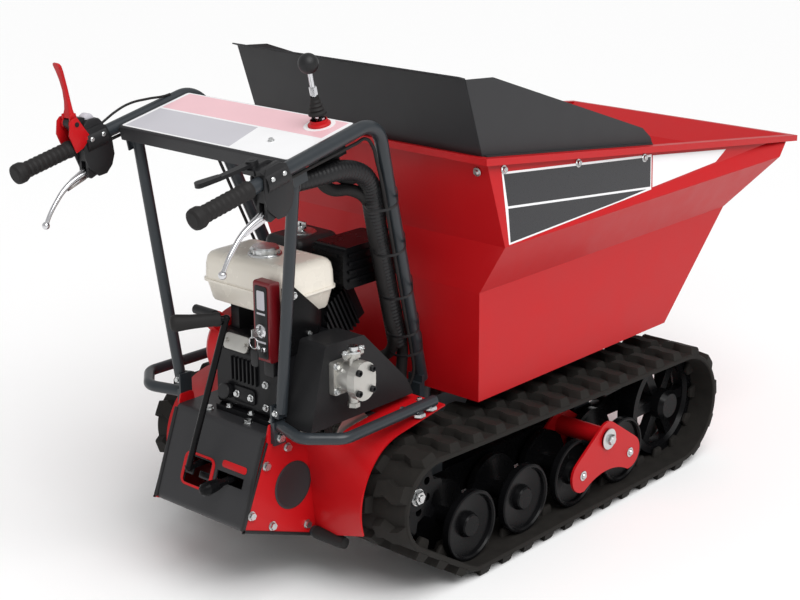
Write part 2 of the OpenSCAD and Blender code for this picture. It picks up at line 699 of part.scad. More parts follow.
// Lower guard tubes, with a short peg under each side plate
guard_r = 12;
guard_z = 402;
guard_end_x = -372;
peg = [-584, 128];
peg_r = 12;
peg_l = 92;
guard_boss = [-420, 9, 3.8];
function mud_top(x) = let (a = mud_outer[mud_steps - 1], b = mud_outer[mud_steps]) a[1] + (b[1] - a[1]) * (x - a[0]) / (b[0] - a[0]);
module guard_tubes() color(anthracite) {
    both_sides() {
        bent_bar([
            [-684, side_y + 9, guard_z], [-709, 231, guard_z], [-650, track_y + 3, guard_z],
            [guard_end_x, track_y - 4, guard_z]
        ], guard_r, 36);
        block([-700, side_y + 5, guard_z - 42], [-668, side_y + 11, guard_z + 8]);
        for (x = [guard_boss[0], guard_end_x - 12])
            translate([x, track_y - 4, mud_top(x) + guard_boss[2]])
                cylinder(h = guard_z - mud_top(x) - guard_boss[2], r = guard_boss[1]);
    }
    rod([peg[0], -side_y, peg[1]], [peg[0], -side_y - peg_l, peg[1]], peg_r);
}

// Handle frames: every point on a handle is s along the tube and w above it
function handle_point(s, w) = [
    handle_x + s * cos(handle_tilt) - w * sin(handle_tilt), handle_z + s * sin(handle_tilt) + w * cos(handle_tilt)];
module on_handle() translate([handle_x, 0, handle_z]) rotate([0, -handle_tilt, 0]) children();
bend_s = 490;
bend_point = handle_point(bend_s, 0);
leg_end = [-274, 171, 396];
module frame_tubes() color(anthracite) both_sides() {
    bent_tube([
        [handle_x, handle_half_w, handle_z], [bend_point[0], handle_half_w, bend_point[1]], leg_end
    ], tube_r, tube_t, 62);
    difference() {
        block([leg_foot[0] - 8, leg_foot[1] - 20, leg_foot[2] - 40], [leg_foot[0], leg_foot[1] + 20, leg_foot[2] + 30]);
        rod([bend_point[0], handle_half_w, bend_point[1]], leg_end, tube_r - 1);
    }
}

// Support tubes from the base to the handles, with flattened bolted ends
support_r = 12;
support_tab = 4;
support_top = handle_point(280, -34);
support_foot = [-684, 432];
module support_tubes() color(anthracite) both_sides() {
    tab_y = dash_half_w - dash_t;
    top = [support_top[0], tab_y - support_tab - support_r, support_top[1]];
    foot = [support_foot[0], side_y + support_r + 5, support_foot[1]];
    rod(top, foot, support_r);
    on_handle() block([262, tab_y - support_tab, -52], [298, tab_y, 6 - dash_t - seat_gap]);
    on_handle() block([268, tab_y - support_tab - 14, -44], [292, tab_y - support_tab + 1, -20]);
    block([-700, side_y, 364], [-668, side_y + 5, 446]);
    block([-696, side_y + 4, 420], [-672, side_y + 20, 442]);
}

// Dash plate: a sheet with turned-down lips, set between the two handles
dash_t = 3;
dash_half_w = handle_half_w - tube_r;
neck_r = 13;
neck_room = 3;
lever_u = dash_s + 160;
lever_y = -180;
module dash_plate() color(dark_grey) on_handle() difference() {
    union() {
        across(-dash_half_w + dash_t, dash_half_w - dash_t) polygon(sheet(rounded([
            [dash_s + dash_l, -18], [dash_s + dash_l, 6], [dash_s, 6], [dash_s, -24]
        ], 5), dash_t));
        for (y = [-dash_half_w, dash_half_w - dash_t])
            block([dash_s + 6, y, -10], [dash_s + dash_l - 6, y + dash_t, 6]);
    }
    translate([lever_u, lever_y, -10]) cylinder(h = 30, r = neck_r + neck_room);
}

// Hand grips with a flange and a domed end
module grips() color(rubber) both_sides() on_handle() translate([0, handle_half_w, 0]) rotate([0, 90, 0])
    rotate_extrude() polygon(concat(
        [[0, -6], [grip_r - 3, -6], [grip_r + 2.5, -3], [grip_r + 4, 2], [grip_r + 4, 13], [grip_r + 1, 20]],
        [for (k = [0:8]) each [[grip_r - 1.2, 25 + 12 * k], [grip_r, 29 + 12 * k]]],
        [[grip_r + 1, grip_l - 6], [grip_r, grip_l], [tube_r + pin_fit, grip_l], [tube_r + pin_fit, 0], [0, 0]]
    ));

// Lever perches: a clamp on each handle, ears for the steering levers and a saddle for the dead-man lever
perch_s = [164, 218];
lever_pivot = [172, -60];
lever_pin_r = 5;
deadman_pivot = [150, 50];
deadman_pin_r = 5;
throttle_pivot = [178, 32];
throttle_y = -handle_half_w + 26;
module perch_shell() difference() {
    union() {
        translate([perch_s[0], handle_half_w, 0]) rotate([0, 90, 0]) cylinder(h = perch_s[1] - perch_s[0], r = tube_r + 11);
        across(handle_half_w - 15, handle_half_w + 15) polygon(rounded_ring([
            [perch_s[0] - 12, -74], [perch_s[0] + 34, -66], [perch_s[1] - 4, -34], [perch_s[1] - 4, 0], [perch_s[0] + 2, 0]
        ], 6));
    }
    translate([perch_s[0] - 20, handle_half_w, 0]) rotate([0, 90, 0]) cylinder(h = 90, r = tube_r + pin_fit);
    across(handle_half_w - 7, handle_half_w + 7) polygon([
        [perch_s[0] - 40, -110], [perch_s[0] + 24, -90], [perch_s[0] + 24, -42], [perch_s[0] - 40, -30]
    ]);
}
module lever_perches() color(black) on_handle() {
    both_sides() {
        perch_shell();
        cross_pin(lever_pivot[0], lever_pivot[1], handle_half_w - 12, handle_half_w + 12, lever_pin_r);
    }
    difference() {
        across(handle_half_w - 9, handle_half_w + 9) polygon(link_outline([
            [deadman_pivot[0] + 26, 16, 12], [deadman_pivot[0] + 22, 40, 14], [deadman_pivot[0], deadman_pivot[1], 11]
        ]));
        translate([100, handle_half_w, 0]) rotate([0, 90, 0]) cylinder(h = 120, r = tube_r + pin_fit);
    }
    cross_pin(deadman_pivot[0], deadman_pivot[1], handle_half_w - 24, handle_half_w + 24, deadman_pin_r);
    block([throttle_pivot[0] - 16, -handle_half_w + 8, 14], [throttle_pivot[0] + 20, throttle_y + 14, throttle_pivot[1] - 8]);
    translate([throttle_pivot[0], throttle_y, throttle_pivot[1] - 9]) cylinder(h = 16, r = 5);
}

// Steering levers: curved blades with a ball end, pulled up towards the grips
lever_bend = [[132, -86], [84, -108], [40, -129]];
module steering_lever(left) color(chrome) on_side(left) on_handle() translate([0, handle_half_w, 0]) difference() {
    union() {
        across(-6, 6) polygon(link_outline([[lever_pivot[0], lever_pivot[1], 12], [lever_bend[0][0], lever_bend[0][1], 8]]));
        across(-5, 5) polygon(link_outline([[lever_bend[0][0], lever_bend[0][1], 8], [lever_bend[1][0], lever_bend[1][1], 6]]));
        across(-4, 4) polygon(link_outline([[lever_bend[1][0], lever_bend[1][1], 6], [lever_bend[2][0], lever_bend[2][1], 4.5]]));
        translate([lever_bend[2][0], 0, lever_bend[2][1]]) sphere(8);
    }
    cross_pin(lever_pivot[0], lever_pivot[1], -10, 10, lever_pin_r + pin_fit);
}
module steering_lever_left() steering_lever(true);
module steering_lever_right() steering_lever(false);

// Dead-man lever: a forked red lever that is pressed down over the left grip
module deadman_lever() color(red) on_handle() translate([0, handle_half_w, 0]) difference() {
    union() {
        for (y = [-21, 11])
            across(y, y + 10) polygon(link_outline([
                [deadman_pivot[0], deadman_pivot[1], 13], [deadman_pivot[0] + 1, deadman_pivot[1] + 34, 9]
            ]));
        across(-21, 21) polygon(link_outline([
            [deadman_pivot[0] + 1, deadman_pivot[1] + 36, 9], [deadman_pivot[0] + 2, deadman_pivot[1] + 70, 8]
        ]));
        across(-13, 13) polygon(link_outline([
            [deadman_pivot[0] + 2, deadman_pivot[1] + 66, 8], [deadman_pivot[0] - 2, deadman_pivot[1] + 122, 6]
        ]));
    }
    cross_pin(deadman_pivot[0], deadman_pivot[1], -30, 30, deadman_pin_r + pin_fit);
}

// Throttle lever: a thumb lever that swings beside the right grip
module throttle_lever() color(black) on_handle() translate([throttle_pivot[0], throttle_y, throttle_pivot[1]]) difference() {
    union() {
        translate([0, 0, -7.5]) cylinder(h = 14, r = 12);
        translate([0, 0, -4]) linear_extrude(7) polygon(link_outline([[0, 0, 9], [-78, 10, 7]]));
        translate([0, 0, -4]) linear_extrude(9) polygon(link_outline([[-78, 10, 7], [-112, 22, 10]]));
    }
    translate([0, 0, -12]) cylinder(h = 24, r = 5 + pin_fit);
}

// Tip control valve under the dash; its neck carries the lever's ears
neck_top = 10;
tip_pivot = [lever_u, 20];
tip_pin_r = 4;
module control_valve() color(alloy) on_handle() {
    block([lever_u - 45, lever_y - 28, -62], [lever_u + 32, lever_y + 28, 3]);
    translate([lever_u, lever_y, 2]) cylinder(h = neck_top - 2, r = neck_r);
    difference() {
        for (y = [-12, 8])
            translate([0, lever_y, 0]) across(y, y + 4)
                polygon(link_outline([[lever_u, neck_top - 3, 8], [tip_pivot[0], tip_pivot[1], 7]]));
        cross_pin(tip_pivot[0], tip_pivot[1], lever_y - 20, lever_y + 20, tip_pin_r + pin_fit);
    }
    for (u = [-26, 20]) translate([lever_u + u, lever_y, -72]) cylinder(h = 11, r = 11, $fn = 6);
}
ball_w = 134;
ball_r = 20;
boot_w = [30, 66];
module tip_lever() color(chrome) on_handle() {
    translate([lever_u, lever_y, tip_pivot[1] - 6]) cylinder(h = 30, r = 6.5);
    translate([lever_u, lever_y, tip_pivot[1]]) cylinder(h = ball_w - tip_pivot[1], r = 5);
    translate([lever_u, lever_y, boot_w[1] + 4]) cylinder(h = 16, r = 8, $fn = 6);
    cross_pin(tip_pivot[0], tip_pivot[1], lever_y - 14, lever_y + 14, tip_pin_r);
    translate([lever_u, lever_y, ball_w]) sphere(ball_r);
}
boot_folds = 4;
module lever_boot() color(rubber) on_handle() translate([lever_u, lever_y, boot_w[0]]) difference() {
    rotate_extrude() polygon(concat(
        [[0, 0], [18, 0], [18, 3]],
        [for (k = [0:boot_folds - 1]) each [[18 - 2.4 * k, 4 + 7.5 * k], [13.5 - 1.6 * k, 8 + 7.5 * k]]],
        [[9, boot_w[1] - boot_w[0]], [0, boot_w[1] - boot_w[0]]]
    ));
    translate([0, 0, -1]) cylinder(h = 90, r = 6.5 + pin_fit);
}

// Gear lever: swings about a fore-and-aft shaft and reaches out through the gate
gear_hub_x = rail_rear_x - 45;
gear_top = [-750, -72, 630];
gear_grip_end = [-830, -19, 629];
gear_out_x = panel_x(gate_z) - 22;
gate_arm_z = gate_z + 12;
module gear_lever() color(black) difference() {
    union() {
        rod([gear_hub_x - 14, gear_y, gear_pivot_z], [gear_hub_x + 14, gear_y, gear_pivot_z], 13);
        block([gear_hub_x - 6, gear_y - 9, gear_pivot_z], [gear_hub_x + 6, gear_y + 9, gate_arm_z + 5]);
        block([gear_out_x - 6, gear_y - 5, gate_arm_z - 5], [gear_hub_x + 6, gear_y + 5, gate_arm_z + 5]);
        rod([gear_out_x, gear_y, gate_arm_z], gear_top, 7);
        translate(gear_top) sphere(8);
        translate([gear_out_x, gear_y, gate_arm_z]) sphere(8);
        rod(gear_top, gear_grip_end, 6.5);
        rod(gear_top + 0.12 * (gear_grip_end - gear_top), gear_grip_end, 13);
        translate(gear_grip_end) sphere(14.5);
    }
    rod([gear_hub_x - 30, gear_y, gear_pivot_z], [gear_hub_x + 30, gear_y, gear_pivot_z], 8 + pin_fit);
}

// Range lever: a flat arm that swings sideways in its slot, with a moulded knob
range_end_x = -832;
module range_lever() color(black) difference() {
    union() {
        translate([range_pivot_x, range_y, range_z - 7.5]) cylinder(h = 15, r = 14);
        block([range_end_x + 44, range_y - 8, range_z - 4], [range_pivot_x, range_y + 8, range_z + 4]);
        translate([range_end_x, range_y, range_z]) rotate([0, 90, 0]) rotate_extrude() polygon([
            [0, 0], [8, 2], [13, 8], [15, 18], [13, 40], [10, 54], [0, 54]
        ]);
    }
    translate([range_pivot_x, range_y, range_z - 30]) cylinder(h = 60, r = 6 + pin_fit);
}

// Tub: folded sheet shell with an outward rim flange, hinge ears and the eye for the cylinder
function ring(x0, z0, x1, z1, w) = [[x0, -w / 2, z0], [x1, -w / 2, z1], [x1, w / 2, z1], [x0, w / 2, z0]];
tub_fold1_x = tub_front_x + tub_fold1_z - tub_floor_z;
tub_fold2_x = 877;
tub_fold2_rear_x = -240;
rim_slope = atan2(rim_rear_z - rim_front_z, rim_front_x - rim_rear_x);
function rim_z(x) = rim_rear_z - (x - rim_rear_x) * tan(rim_slope);
function rim_ring(out, dz) =
    ring(rim_rear_x - out, rim_z(rim_rear_x - out) + dz, rim_front_x + out, rim_z(rim_front_x + out) + dz, rim_w + 2 * out);
function tub_rings(t) = [
    ring(tub_rear_x + t, tub_floor_z + t, tub_front_x - 1.2 * t, tub_floor_z + t, tub_floor_w - 2 * t),
    ring(tub_rear_x + t, tub_fold1_z, tub_fold1_x - 1.4 * t, tub_fold1_z, tub_floor_w - 2 * t),
    ring(tub_fold2_rear_x + t, tub_fold2_z, tub_fold2_x - 1.6 * t, tub_fold2_z, tub_fold2_w - 2 * t),
    rim_ring(-t, 0)
];
tub_ear_t = 10;
eye_half_w = 15;
module rim_strip(out0, out1, dz0, dz1) difference() {
    loft([rim_ring(out1, dz0), rim_ring(out1, dz1)]);
    loft([rim_ring(out0, dz0 - 1), rim_ring(out0, dz1 + 1)]);
}
module tub() color(red) {
    difference() {
        loft(tub_rings(0));
        loft(concat(tub_rings(tub_t), [rim_ring(-tub_t, 20)]));
    }
    rim_strip(-tub_t / 2, rim_flange, -tub_t, 0);
    rim_strip(rim_flange - tub_t, rim_flange, -15, -tub_t / 2);
    both_sides() {
        difference() {
            across(rail_out + 4, rail_out + 4 + tub_ear_t) polygon(link_outline([
                [hinge_x, hinge_z, lug_r - 2], [hinge_x - 20, tub_floor_z - 22, 23.5], [hinge_x - 90, tub_floor_z - 8, 9.5]
            ]));
            cross_pin(hinge_x, hinge_z, 0, rail_out + 40, hinge_pin_r + pin_fit);
        }
        across(eye_half_w + 3, eye_half_w + 11) polygon(link_outline([
            [eye_x, eye_z, 20], [eye_x + 24, tub_floor_z - 14, 15], [eye_x - 24, tub_floor_z - 14, 15]
        ]));
        cross_pin(eye_x, eye_z, eye_half_w + 10, eye_half_w + 17, 15);
    }
}

// Load guard on the rear of the rim: a leaning rear panel with two tapering cheeks
guard_lean = -76;
guard_t = 3;
guard_half_w = rim_w / 2 - 10;
module tub_guard() color(dark_grey) translate([rim_rear_x, 0, rim_rear_z]) rotate([0, rim_slope, 0]) {
    both_sides() {
        across(guard_half_w - guard_t, guard_half_w) polygon([
            [guard_t / 2, 0], [guard_l + 12, 0], [guard_l, 17], [guard_l - 37, 39],
            [15, guard_h + 4], [guard_lean + guard_t / 2, guard_h]
        ]);
        block([6, guard_half_w - guard_t / 2, 0], [guard_l, guard_half_w + 9, guard_t]);
    }
    across(-guard_half_w + guard_t / 2, guard_half_w - guard_t / 2) polygon(sheet([
        [12, 0], [0, 0], [guard_lean, guard_h], [guard_lean - 16, guard_h + 3]
    ], -guard_t));
}

// Tip cylinder: barrel on the frame's rear pin, rod to the eye under the tub
ram_base = [ram_x, 0, ram_z];
ram_dir = unit([eye_x - ram_x, 0, eye_z - ram_z]);
ram_length = norm([eye_x - ram_x, eye_z - ram_z]);
barrel_l = 292;
module along_ram() multmatrix(stand(ram_base, ram_dir)) children();
module tip_cylinder() color(black) difference() {
    union() {
        cross_pin(ram_x, ram_z, -ram_ear_in + end_gap, ram_ear_in - end_gap, 22);
        along_ram() translate([0, 0, 12]) cylinder(h = barrel_l - 12, r = barrel_r);
        along_ram() translate([0, 0, barrel_l - 22]) cylinder(h = 26, r = barrel_r + 4);
    }
    cross_pin(ram_x, ram_z, -40, 40, ram_pin_r + pin_fit);
    along_ram() translate([0, 0, 40]) cylinder(h = barrel_l - 66, r = barrel_r - 6);
    along_ram() translate([0, 0, 60]) cylinder(h = barrel_l, r = rod_r + pin_fit);
}
module tip_rod() color(chrome) {
    along_ram() translate([0, 0, 48]) cylinder(h = 18, r = barrel_r - 6 - pin_fit);
    along_ram() translate([0, 0, 50]) cylinder(h = ram_length - 60, r = rod_r);
    cross_pin(eye_x, eye_z, -eye_half_w, eye_half_w, 20);
}

// Engine: crankcase on the deck, inclined finned cylinder, tank, filter, muffler and recoil starter
case_half = 85;
case_top = deck_z + 172;
tank_rise = 54;
tank_lo = [-656, pto_y + 5, case_top + tank_rise];
tank_hi = tank_lo + [tank_d, tank_l, tank_h];
cap_spot = [tank_lo[0] + 66, tank_lo[1] + 125];
cap_r = 30;
crank_r = 12;
module engine_block() color(dark_grey) {
    difference() {
        union() {
            across(pto_y, recoil_y) polygon(rounded_ring([
                [crank_x - case_half, deck_z + 10], [crank_x + case_half, deck_z + 10], [crank_x + case_half, case_top],
                [crank_x - case_half + 14, case_top], [crank_x - case_half, crank_z + 20]
            ], 14));
            block([crank_x - case_half - 10, -base_half_w + 5, deck_z], [crank_x + case_half + 10, recoil_y - 4, deck_z + 12]);
            cross_pin(crank_x, crank_z, pto_y - 8, pto_y + 4, 56);
        }
        cross_pin(crank_x, crank_z, pto_y - 20, pto_y + 34, crank_r + pin_fit);
    }
    for (y = [tank_lo[1] + 30, recoil_y - 35])
        block([crank_x - 50, y, case_top - 2], [crank_x + 30, y + 24, tank_lo[2]]);
}
cyl_tilt = 27;
fin_count = 8;
head_y = [pto_y + 46, recoil_y - 62];
module cylinder_head() color(dark_grey) translate([crank_x, 0, crank_z]) rotate([0, -cyl_tilt, 0]) difference() {
    union() {
        block([70, head_y[0] + 12, -38], [196, head_y[1] - 12, 38]);
        for (i = [0:fin_count - 1])
            block([100 + 11 * i, head_y[0], -50], [105 + 11 * i, head_y[1], 50]);
        block([186, head_y[0] + 4, -44], [206, head_y[1] - 4, 44]);
    }
    rotate([0, cyl_tilt, 0]) block([-200, -200, -200], [case_half, 200, 200]);
}
module fuel_tank() color(white) {
    difference() {
        soft_box(tank_lo, tank_hi, 26);
        translate([cap_spot[0], cap_spot[1], tank_hi[2] - 8]) cylinder(h = 20, r = cap_r + 4);
    }
    translate([0, 0, tank_lo[2] + 44]) linear_extrude(5) polygon(rounded_ring([
        [tank_lo[0] - 4, tank_lo[1] - 4], [tank_hi[0] + 4, tank_lo[1] - 4],
        [tank_hi[0] + 4, tank_hi[1] + 4], [tank_lo[0] - 4, tank_hi[1] + 4]
    ], 28));
    translate([cap_spot[0], cap_spot[1], tank_hi[2] - 9]) cylinder(h = 9, r = cap_r - 6);
}
module fuel_cap() color(alloy) translate([cap_spot[0], cap_spot[1], tank_hi[2] + seat_gap]) {
    rotate_extrude() polygon([[0, 0], [cap_r - 2, 0], [cap_r, 3], [cap_r, 13], [cap_r - 3, 17], [0, 18]]);
    for (i = [0:11]) rotate([0, 0, 30 * i]) translate([cap_r - 4, -2.5, 4.5]) cube([6, 5, 7]);
}
filter_lo = [tank_hi[0] + 25, head_y[1] + 1, 614];
filter_hi = [-352, recoil_y + 49, 718];
module air_filter() color(black) {
    soft_box(filter_lo, filter_hi, 18);
    translate([(filter_lo[0] + filter_hi[0]) / 2, (filter_lo[1] + filter_hi[1]) / 2, filter_hi[2] - 2]) {
        cylinder(h = 5, r = 26);
        cylinder(h = 22, r = 4);
        translate([-2, -13, 10]) cube([4, 26, 14]);
    }
    block([filter_lo[0] + 12, head_y[1], 584], [filter_lo[0] + 58, head_y[1] + 59, filter_lo[2] + 8]);
}
muffler_lo = [-494, pto_y, 642];
muffler_hi = [-330, head_y[1] - 53, 732];
module muffler() color(black) {
    round_box(muffler_lo, muffler_hi, 16);
    for (i = [0:3]) {
        z = muffler_lo[2] + 16 + 18 * i;
        block([muffler_lo[0] + 14, muffler_lo[1] - 4, z], [muffler_hi[0] - 14, muffler_lo[1] + 2, z + 6]);
        block([muffler_lo[0] - 4, muffler_lo[1] + 14, z], [muffler_lo[0] + 2, muffler_hi[1] - 20, z + 6]);
    }
    translate([crank_x, 0, crank_z]) rotate([0, -cyl_tilt, 0]) block([187, head_y[0] + 6, 44], [205, head_y[0] + 38, 72]);
}
module recoil_cover() color(red) difference() {
    union() {
        turned(crank_x, recoil_y, crank_z) polygon([
            [0, 0], [recoil_r + 4, 0], [recoil_r + 4, 30], [recoil_r - 2, 40], [recoil_r - 20, 56], [34, 60], [0, 60]
        ]);
        translate([crank_x, recoil_y, crank_z]) rotate([0, 45, 0]) block([-recoil_r - 26, 7, -18], [-recoil_r + 20, 36, 18]);
    }
    for (i = [0:11])
        translate([crank_x, recoil_y, crank_z]) rotate([0, 30 * i, 0]) block([40, 52, -4], [54, 70, 4]);
}
pull_dir = [-cos(45), 0, sin(45)];
pull_seat = [crank_x, recoil_y + 24, crank_z] + (recoil_r + 26 + seat_gap) * pull_dir;
module pull_handle() color(black) multmatrix(stand(pull_seat, pull_dir)) {
    rotate_extrude() polygon([[0, 0], [7, 0], [9, 10], [9, 16], [0, 16]]);
    translate([0, 0, 22]) rotate([0, 90, 0]) translate([0, 0, -30]) cylinder(h = 60, r = 10);
}

// Electric start box beside the tank, with its key switch
box_lo = [-692, -side_y + 2, 532];
box_hi = [-662, box_lo[1] + 45, 700];
key_z = box_lo[2] + 66;
module start_box() color(red) {
    round_box(box_lo, box_hi, 6);
    rod([box_lo[0] - 4, (box_lo[1] + box_hi[1]) / 2, key_z], [box_lo[0] + 2, (box_lo[1] + box_hi[1]) / 2, key_z], 12);
    block([crank_x - case_half - 8, box_lo[1] + 10, crank_z - 4], [crank_x - case_half, box_hi[1] - 10, box_lo[2] + 8]);
}
module ignition_key() color(chrome) translate([box_lo[0] - 4 - seat_gap, (box_lo[1] + box_hi[1]) / 2, key_z]) {
    rod([0, 0, 0], [-8, 0, 0], 4);
    translate([-24, -1.2, -9]) cube([18, 2.4, 18]);
}

// Belt drive under its cover, and the hydraulic pump on the cover's face
driven = [-520, 338];
belt_w = 15;
drive_loop = [[crank_x, crank_z, pulley_r + run_gap], [driven[0], driven[1], driven_r + run_gap]];
module pulley(x, z, r) turned(x, pulley_y, z) polygon([
    [0, -pulley_half], [r + 12, -pulley_half], [r + 12, 3 - pulley_half], [r, -belt_w / 2 - 0.5],
    [r, belt_w / 2 + 0.5], [r + 12, pulley_half - 3], [r + 12, pulley_half], [0, pulley_half]
]);
module engine_pulley() color(alloy) {
    pulley(crank_x, crank_z, pulley_r);
    cross_pin(crank_x, crank_z, pulley_y, pto_y + 32, crank_r);
}
module driven_pulley() color(alloy) {
    pulley(driven[0], driven[1], driven_r);
    cross_pin(driven[0], driven[1], pulley_y, -rail_in / 2, 10);
}
module drive_belt() color(rubber) across(pulley_y - belt_w / 2, pulley_y + belt_w / 2) difference() {
    polygon([for (k = [0:59]) loop_offset(drive_loop, loop_length(drive_loop) * k / 60, 9)]);
    polygon([for (k = [0:59]) loop_offset(drive_loop, loop_length(drive_loop) * k / 60, 0)]);
}
cover_t = 3;
cover_outline = rounded([[-672, 399], [-626, 574], [-514, 569], [-384, 440], [-362, 399]], 10);
module belt_cover() color(dark_grey) {
    across(cover_y[0], cover_y[0] + cover_t) polygon(cover_outline);
    across(cover_y[0] + 1, cover_y[1]) polygon(sheet(cover_outline, -cover_t));
}
pump_y = cover_y[0];
module pump() color(alloy) translate([crank_x, 0, crank_z]) {
    across(pump_y - 13, pump_y) polygon(rounded_ring([[-35, -35], [35, -35], [35, 35], [-35, 35]], 6));
    cross_pin(0, 0, pump_y - 46, pump_y - 12, 31);
    across(pump_y - 66, pump_y - 46) polygon(link_outline([[0, 10, 32], [0, -8, 32]]));
    translate([0, pump_y - 34, -56]) cylinder(h = 30, r = 10);
    translate([0, pump_y - 34, -60]) cylinder(h = 9, r = 13, $fn = 6);
    translate([0, pump_y - 34, 26]) cylinder(h = 30, r = 10);
    translate([0, pump_y - 34, 46]) cylinder(h = 12, r = 15, $fn = 6);
    rod([-24, pump_y - 34, 52], [24, pump_y - 34, 52], 7);
}

// Gearbox between the rails, with the axle tubes that carry the sprockets
gear_lo = [-566, -rail_in, 142];
gear_hi = [-384, rail_in, 362];
axle_tube_r = 26;
module gearbox() color(alloy) difference() {
    union() {
        across(gear_lo[1], gear_hi[1]) polygon(rounded_ring([
            [gear_lo[0], gear_lo[2] + 30], [gear_lo[0] + 40, gear_lo[2]], [gear_hi[0] - 20, gear_lo[2]], [gear_hi[0], gear_lo[2] + 40],
            [gear_hi[0], rail_z + 20], [driven[0] + 50, gear_hi[2]], [gear_lo[0], gear_hi[2]]
        ], 16));
        cross_pin(sprocket_x, sprocket_z, -track_y + 30, track_y - 30, axle_tube_r);
        both_sides() cross_pin(sprocket_x, sprocket_z, rail_in, rail_in + 14, axle_tube_r + 3);
    }
    both_sides() cross_pin(sprocket_x, sprocket_z, rail_in / 2 - 2, track_y, axle_r + pin_fit);
    cross_pin(driven[0], driven[1], -rail_in - 10, -rail_in / 2 + 2, 10 + pin_fit);
}
oil_lo = [-372, 34, rail_top];
oil_hi = [-312, 124, 470];
oil_port = [-342, oil_lo[1] - 14, 440];
module oil_tank() color(black) {
    block(oil_lo, oil_hi);
    translate([-342, 70, oil_hi[2] - 1]) cylinder(h = 16, r = 16);
    rod([oil_port[0], oil_lo[1] + 1, oil_port[2]], oil_port, 11);
}

// Hoses follow the right-hand leg from the valve; cables follow the handles to the gearbox
hose_r = 11;
cable_r = 3.5;
leg_top = [bend_point[0], handle_half_w, bend_point[1]];
function by_leg(z, dx, dy) =
    leg_top + (leg_end - leg_top) * (leg_top[2] - z) / (leg_top[2] - leg_end[2]) + [dx, dy, 0];
function by_handle(s, w) = let (p = handle_point(s, w)) [p[0], handle_half_w, p[1]];
function by_port(u, drop, off = [0, 0, 0]) = let (p = handle_point(lever_u + u, -72 - drop)) [p[0], -lever_y, p[1]] + off;
return_hose = [
    by_port(-26, 0.7), by_port(-26, 13), by_port(-26, 26), by_port(-26, 0.7, [33, 6, -50]), by_port(-26, 0.7, [73, 20, -56]),
    by_leg(845, -42, -28), by_leg(785, -42, -24), by_leg(680, -44, -22), by_leg(570, -44, -22), by_leg(500, -44, -22),
    [oil_port[0] - 2, 125, 456], [oil_port[0], 60, 441], [oil_port[0], 1 - oil_port[1], oil_port[2]]
];
lift_hose = [
    by_port(20, 0.7), by_port(20, 13), by_port(20, 26), by_port(20, 0.7, [22, 10, -43]), by_port(20, 0.7, [52, 30, -39]),
    by_leg(880, -16, -26), by_leg(780, -16, -26), by_leg(680, -16, -26), by_leg(570, -16, -26), by_leg(480, -16, -26),
    [-321, 152, 400], [-322, 154, 330],
    [-322, rail_out + 36, 300], [-322, rail_out + 27, 283], [-322, rail_out + 14, 280], [-322, rail_out + 0.8, 280]
];
cable = [
    by_handle(perch_s[1] + 0.6, -20), by_handle(247, -20), by_handle(329, -22), by_handle(420, -24),
    leg_top + [-28, -5, -35], leg_top + [-5, -8, -55], by_leg(935, -25, 3), by_leg(880, -24, 6), by_leg(780, -24, 6),
    by_leg(680, -24, 6), by_leg(570, -24, 6), by_leg(480, -24, 6),
    [-318, 185, 420], [-345, 165, 350], [-348, rail_out + 30, 310], [-348, rail_out + 16, 300], [-348, rail_out + 0.6, 300]
];
module hoses_and_cables() color(rubber) {
    mirror([0, 1, 0]) cord(return_hose, hose_r);
    mirror([0, 1, 0]) cord(lift_hose, hose_r);
    both_sides() cord(cable, cable_r);
}

// Hexagon bolts on the plates, tubes and deck
module frame_bolts() color(chrome) both_sides() {
    for (p = [[-655, 342], [-716, 319], [-761, 224], [-704, 182], [-603, 151]])
        hex_bolt([p[0], side_y, p[1]], [0, 1, 0]);
    hex_bolt([-684, side_y + 11, guard_z - 27], [0, 1, 0]);
    hex_bolt([leg_foot[0], leg_foot[1], leg_foot[2] - 24], [1, 0, 0], 7);
    hex_bolt([-690, 60, deck_z], [0, 0, 1]);
    on_handle() hex_bolt([280, dash_half_w - dash_t - support_tab, -9], [0, -1, 0], 7);
}

main_frame();
track_frames();
idler_arms();
base_cover();
side_plates();
mudguards();
guard_tubes();
frame_tubes();
support_tubes();
dash_plate();
grips();
lever_perches();
control_valve();
engine_block();
cylinder_head();
fuel_tank();
air_filter();
muffler();
recoil_cover();
start_box();
belt_cover();
drive_belt();
pump();
gearbox();
oil_tank();
hoses_and_cables();
frame_bolts();
track_left();
track_right();
steering_lever_left();
steering_lever_right();
deadman_lever();
throttle_lever();
tip_lever();
lever_boot();
gear_lever();
range_lever();
fuel_cap();
pull_handle();
ignition_key();
engine_pulley();
driven_pulley();
tub();
tub_guard();
tip_cylinder();
tip_rod();
sprocket_left();
sprocket_right();
idler_left();
idler_right();
road_wheel_left_1();
road_wheel_left_2();
road_wheel_left_3();
road_wheel_left_4();
road_wheel_right_1();
road_wheel_right_2();
road_wheel_right_3();
road_wheel_right_4();
bogie_left();
bogie_right();
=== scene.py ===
# %% [markdown]
# A tracked power carrier is a small walk-behind dumper: two rubber tracks, a steel tub that tips
# forward, a petrol engine on a deck and two handles with levers. The solids come from the CAD
# model, so this lesson only dresses them: it sets the camera, the light and the finishes, and
# then adds the small pieces that the solids leave out. Loading the frame first gives every
# node as an object whose place is already in its mesh.

# %% Load the frame
import json
import math

import bmesh
import bpy
from mathutils import Matrix, Vector


